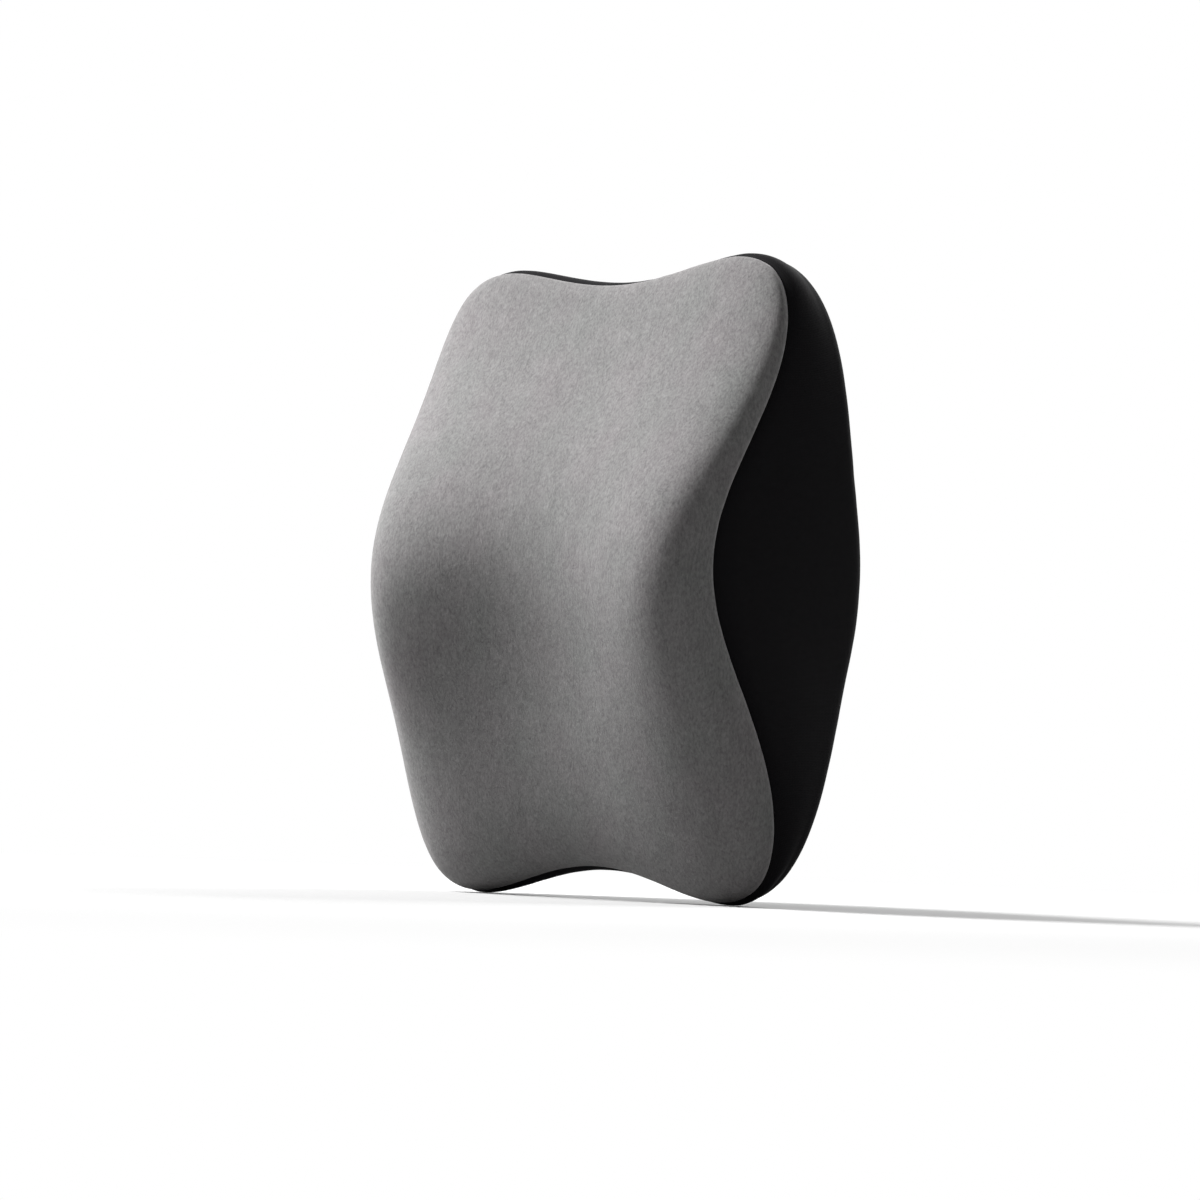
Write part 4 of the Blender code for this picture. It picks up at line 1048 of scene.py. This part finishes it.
class PILLOW_OT_zip(bpy.types.Operator):
    """Make the zip's woven tapes, its two rows of moulded teeth, the stops, the slider and the pull"""

    bl_idname = "neck_pillow.zip"
    bl_label = "Zip"
    bl_options = {"REGISTER", "UNDO"}

    def execute(self, context):
        form, parts = context.scene.pillow_form, context.scene.part_look
        moulded, metal = moulded_acetal(tuple(parts.plastic)), enamelled_zinc(tuple(parts.enamel))
        weave, thread = zip_tape_weave(tuple(parts.tape)), polyester_thread(THREAD_COLOUR)
        for label, side in (("upper", -1), ("lower", 1)):
            self.tape(form, label, side, weave)
            self.teeth(form, label, side, moulded)
        for label, side in (("bottom", -1), ("top", 1)):
            self.bar_tack(form, label, side, thread)
        for node, name, body, width in ZIP_PARTS:
            finish, slot = (moulded, "moulded_black") if body == PILLOW else (metal, "black_zip_metal")
            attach(hard_piece(node_form(node), name, node, finish, width), body)
        return {"FINISHED"}

    def tape(self, form, label, side, finish):
        """A tape with a corded inner edge, its outer edge hidden under the hem."""
        bm = bmesh.new()
        corners = [(-ZIP_TAPE_LENGTH / 2, side * y, z) for y, z in TAPE_SIDE]
        grow_profile(bm, corners, (ZIP_TAPE_LENGTH, 0, 0))
        bmesh.ops.recalc_face_normals(bm, faces=bm.faces)
        bm.transform(zip_place(form))
        node = f"zip_tape_{label}"
        made = hard_piece(bm, f"{node}_woven", node, finish, TAPE_ROUNDING, segments=2)
        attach(made, PILLOW)

    def teeth(self, form, label, side, finish):
        """The row of teeth, clamped on the tape's corded edge; the two rows lie half a pitch apart."""
        bm = bmesh.new()
        for i in range(TOOTH_COUNT):
            middle = TEETH_INSET - ZIP_TAPE_LENGTH / 2 + (i + 0.5 + side / 4) * TOOTH_PITCH
            corners = [(middle - TOOTH_WIDTH / 2, side * y, z) for y, z in TOOTH_SIDE]
            grow_profile(bm, corners, (TOOTH_WIDTH, 0, 0))
        bmesh.ops.recalc_face_normals(bm, faces=bm.faces)
        bm.transform(zip_place(form))
        node = f"zip_teeth_{label}"
        made = hard_piece(bm, f"{node}_moulded", node, finish, TOOTH_ROUNDING, segments=2)
        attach(made, PILLOW)

    def bar_tack(self, form, label, side, thread):
        """Close stitches across both tapes past the last tooth, which hold the zip's end shut."""
        bm = bmesh.new()
        for i in range(TACK_STITCHES):
            x = side * (ZIP_TAPE_LENGTH / 2 - TACK_INSET - i * TACK_SPACING)
            lean = TACK_SPACING / 2 * (-1) ** i
            start, end = Vector((x - lean, -TACK_REACH, TAPE_TOP)), Vector((x + lean, TACK_REACH, TAPE_TOP))
            stitch(bm, start, end, Vector((0, 0, 1)), TACK_THREAD_RADIUS)
        bm.transform(zip_place(form))
        thread_piece(bm, f"zip_{label}_bar_tack", thread)


# How far the patches' stitches lie inside their edges, and the webbing's, patches' and buckle's rounding
PATCH_STITCH_INSET = (0.0016, 0.0030)
WEBBING_ROUNDING = 0.0004
PATCH_ROUNDING = 0.0005
BUCKLE_ROUNDING = 0.0004
# Where the plug's ribs lie along the strap, and their size
GRIP_RIBS = (0.0119, 0.0133, 0.0147)
GRIP_RIB_WIDTH = 0.0007
GRIP_RIB_LENGTH = 0.021
GRIP_RIB_ROUNDING = 0.00025


class PILLOW_OT_strap(bpy.types.Operator):
    """Make the elastic strap's two halves, the patches that hold them, the buckle and the keeper"""

    bl_idname = "neck_pillow.strap"
    bl_label = "Strap and Buckle"
    bl_options = {"REGISTER", "UNDO"}

    def execute(self, context):
        parts, cover = context.scene.part_look, context.scene.cover_look
        webbing = elastic_webbing(tuple(parts.webbing))
        moulded = moulded_acetal(tuple(parts.plastic))
        knit, thread = black_knit(tuple(cover.knit)), polyester_thread(THREAD_COLOUR)
        left, right = [
            hard_piece(node_form(f"strap_{side}"), f"strap_{side}_webbing", f"strap_{side}", webbing,
                       WEBBING_ROUNDING) for side in ("left", "right")]
        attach(left, PILLOW)
        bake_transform(right)
        for node in ("strap_patch_left", "strap_patch_right"):
            self.patch(context, node, knit, thread)
        for node, body in (("buckle_socket", PILLOW), ("buckle_plug", PLUG), ("strap_keeper", KEEPER)):
            name = f"{node}_moulded"
            made = hard_piece(node_form(node), name, node, moulded, BUCKLE_ROUNDING)
            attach(made, body)
        self.grip(moulded)
        return {"FINISHED"}

    def patch(self, context, node, knit, thread):
        """A patch, sewn down by a stitched box with a cross just inside its edges."""
        bm = node_form(node)
        cloth_uv(bm, patch_flat)
        patch = hard_piece(bm, f"{node}_knit", node, knit, PATCH_ROUNDING)
        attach(patch, PILLOW)
        low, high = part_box(node)
        left, right = low.x + PATCH_STITCH_INSET[0], high.x - PATCH_STITCH_INSET[0]
        bottom, top = low.z + PATCH_STITCH_INSET[1], high.z - PATCH_STITCH_INSET[1]
        corners = [Vector((x, high.y, z)) for x, z in (
            (left, bottom), (right, bottom), (right, top), (left, top), (left, bottom), (right, top),
            (left, top), (right, bottom))]
        bm = bmesh.new()
        surface = BVHTree.FromObject(patch, context.evaluated_depsgraph_get())
        stitch_path(bm, surface, corners, PATCH_STITCH_SPACING)
        thread_piece(bm, f"{node}_stitches", thread)

    def grip(self, finish):
        """Low ribs across the plug's block, for the thumb."""
        bm = bmesh.new()
        low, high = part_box("buckle_plug")
        shape = Matrix.Diagonal((GRIP_RIB_WIDTH, GRIP_RIB_WIDTH, GRIP_RIB_LENGTH, 1))
        for x in GRIP_RIBS:
            for y in (high.y, low.y):
                bmesh.ops.create_cube(bm, size=1, matrix=Matrix.Translation((x, y, 0)) @ shape)
        made = object_from(bm, "plug_grip_ribs", finish)
        round_edges(made, GRIP_RIB_ROUNDING)
        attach(made, PLUG)


# The camera's sensor and shift, and the point that it turns round
SENSOR_WIDTH = 36
CAMERA_SHIFT = (-3.7 / 1200, -18.1 / 1200)
CAMERA_TARGET = Vector((0, -0.059, 0))
# Each lamp's name, place, width and the property that holds its power
LAMPS = (
    ("key_lamp", Vector((-1.35, -0.80, 1.75)), 0.8, "key_power"),
    ("side_lamp", Vector((-1.60, -0.40, 0.20)), 0.8, "side_power"),
    ("back_lamp", Vector((-0.30, 1.85, 1.25)), 1.4, "back_power"))
LAMP_TARGET = Vector((0, -0.06, 0.0))
# The floor's size, how far it lies under the pillow, and where it starts and ends to fade
FLOOR_RADIUS = 9.0
FLOOR_DROP = 0.0005
FLOOR_FADE = (0.2, 1.0)


def add_lamp(name, place, width, power):
    """A round soft lamp, turned to the pillow."""
    lamp = bpy.data.lights.new(name, "AREA")
    lamp.shape = "DISK"
    lamp.size = width
    lamp.energy = power
    made = bpy.data.objects.new(name, lamp)
    made.location = place
    made.rotation_euler = (LAMP_TARGET - place).to_track_quat("-Z", "Y").to_euler()
    bpy.context.scene.collection.objects.link(made)


def add_camera(look):
    """The camera, placed by its turn, height, roll and distance."""
    a, e, r = look.azimuth, look.elevation, look.roll
    back = Vector((math.sin(a) * math.cos(e), -math.cos(a) * math.cos(e), math.sin(e)))
    right = Vector((math.cos(a), math.sin(a), 0))
    up = back.cross(right)
    side = right * math.cos(r) + up * math.sin(r)
    above = up * math.cos(r) - right * math.sin(r)
    camera = bpy.data.cameras.new("camera")
    camera.lens = look.lens
    camera.sensor_width = SENSOR_WIDTH
    camera.shift_x, camera.shift_y = CAMERA_SHIFT
    made = bpy.data.objects.new("camera", camera)
    turned = Matrix((side, above, back)).transposed().to_4x4()
    made.matrix_world = Matrix.Translation(CAMERA_TARGET + back * look.distance) @ turned
    bpy.context.scene.collection.objects.link(made)
    bpy.context.scene.camera = made


def seen_or_mirrored(tree):
    """1 for what the camera sees, straight or in a gloss, and 0 for the light that falls on things."""
    path = add_node(tree, "ShaderNodeLightPath").outputs
    seen = path["Is Camera Ray"]
    for other in ("Is Glossy Ray", "Is Transmission Ray"):
        seen = add_node(tree, "ShaderNodeMath", {0: seen, 1: path[other]}, operation="MAXIMUM").outputs[0]
    return seen


class PILLOW_OT_stage(bpy.types.Operator):
    """Set the floor, the soft studio lamps, the pale surround and the camera"""

    bl_idname = "neck_pillow.stage"
    bl_label = "Stage"
    bl_options = {"REGISTER", "UNDO"}

    def execute(self, context):
        look = context.scene.stage_look
        add_camera(look)
        for name, place, width, power in LAMPS:
            add_lamp(name, place, width, getattr(look, power))
        bm = bmesh.new()
        bmesh.ops.create_circle(bm, cap_ends=True, radius=FLOOR_RADIUS, segments=96)
        bmesh.ops.translate(bm, vec=(0, 0, CAD_BOX[0].z - FLOOR_DROP), verts=bm.verts)
        object_from(bm, "floor", self.floor_paper(look))
        self.surround(context, look)
        return {"FINISHED"}

    def floor_paper(self, look):
        """Matt white paper that fades into the backdrop away from the pillow, so no horizon shows."""
        made, tree, shader = new_material("floor_paper")
        shader.inputs["Roughness"].default_value = 0.9
        shader.inputs["Specular IOR Level"].default_value = 0.1
        place = add_node(tree, "ShaderNodeTexCoord").outputs["Object"]
        away = add_node(tree, "ShaderNodeVectorMath", {0: place}, operation="LENGTH")
        fade = add_node(tree, "ShaderNodeMapRange", {
            "Value": away.outputs["Value"], "From Min": FLOOR_FADE[0], "From Max": FLOOR_FADE[1]},
            interpolation_type="SMOOTHSTEP")
        seen = seen_or_mirrored(tree)
        paper = add_node(tree, "ShaderNodeMix", {
            0: seen, MIX_A: PAPER_LIT, MIX_B: PAPER_SEEN}, data_type="RGBA")
        tree.links.new(paper.outputs[MIX_RESULT], shader.inputs["Base Color"])
        amount = add_node(tree, "ShaderNodeMath", {0: fade.outputs[0], 1: seen}, operation="MULTIPLY")
        glow = add_node(tree, "ShaderNodeEmission", {"Color": (*look.background, 1)})
        mixed = add_node(tree, "ShaderNodeMixShader", {
            0: amount.outputs[0], 1: shader.outputs[0], 2: glow.outputs[0]})
        tree.links.new(mixed.outputs[0], tree.nodes["Material Output"].inputs["Surface"])
        return made

    def surround(self, context, look):
        """Even light from all round, which the camera and every gloss see as the pale backdrop."""
        world = bpy.data.worlds.new("surround")
        world.use_nodes = True
        context.scene.world = world
        tree = world.node_tree
        background = tree.nodes["Background"]
        background.inputs["Color"].default_value = (*look.background, 1)
        strength = add_node(tree, "ShaderNodeMapRange", {
            "Value": seen_or_mirrored(tree), "To Min": look.fill, "To Max": 1.0})
        tree.links.new(strength.outputs[0], background.inputs["Strength"])
        context.scene.view_settings.view_transform = "Standard"


class PILLOW_PT_panel(bpy.types.Panel):
    """Sizes, colours and the steps that dress the pillow"""

    bl_idname = "PILLOW_PT_panel"
    bl_label = "Neck Pillow"
    bl_space_type = "VIEW_3D"
    bl_region_type = "UI"
    bl_category = "Neck Pillow"

    def draw(self, context):
        for name, kind in GROUPS:
            column = self.layout.column(align=True)
            for setting in kind.__annotations__:
                column.prop(getattr(context.scene, name), setting)
        for step in STEPS:
            self.layout.operator(step.bl_idname)


STEPS = (PILLOW_OT_cover, PILLOW_OT_core, PILLOW_OT_zip, PILLOW_OT_strap, PILLOW_OT_stage)
GROUPS = (("pillow_form", PillowForm), ("cover_look", CoverLook), ("part_look", PartLook),
          ("stage_look", StageLook))


def register():
    for _, group in GROUPS:
        bpy.utils.register_class(group)
    for step in (*STEPS, PILLOW_PT_panel):
        bpy.utils.register_class(step)
    for name, group in GROUPS:
        setattr(bpy.types.Scene, name, PointerProperty(type=group))


def unregister():
    for name, _ in GROUPS:
        delattr(bpy.types.Scene, name)
    for made in (PILLOW_PT_panel, *reversed(STEPS), *(group for _, group in reversed(GROUPS))):
        bpy.utils.unregister_class(made)


def main():
    register()
    bpy.ops.neck_pillow.cover()
    bpy.ops.neck_pillow.core()
    bpy.ops.neck_pillow.zip()
    bpy.ops.neck_pillow.strap()
    bpy.ops.neck_pillow.stage()


if __name__ == "__main__":
    main()
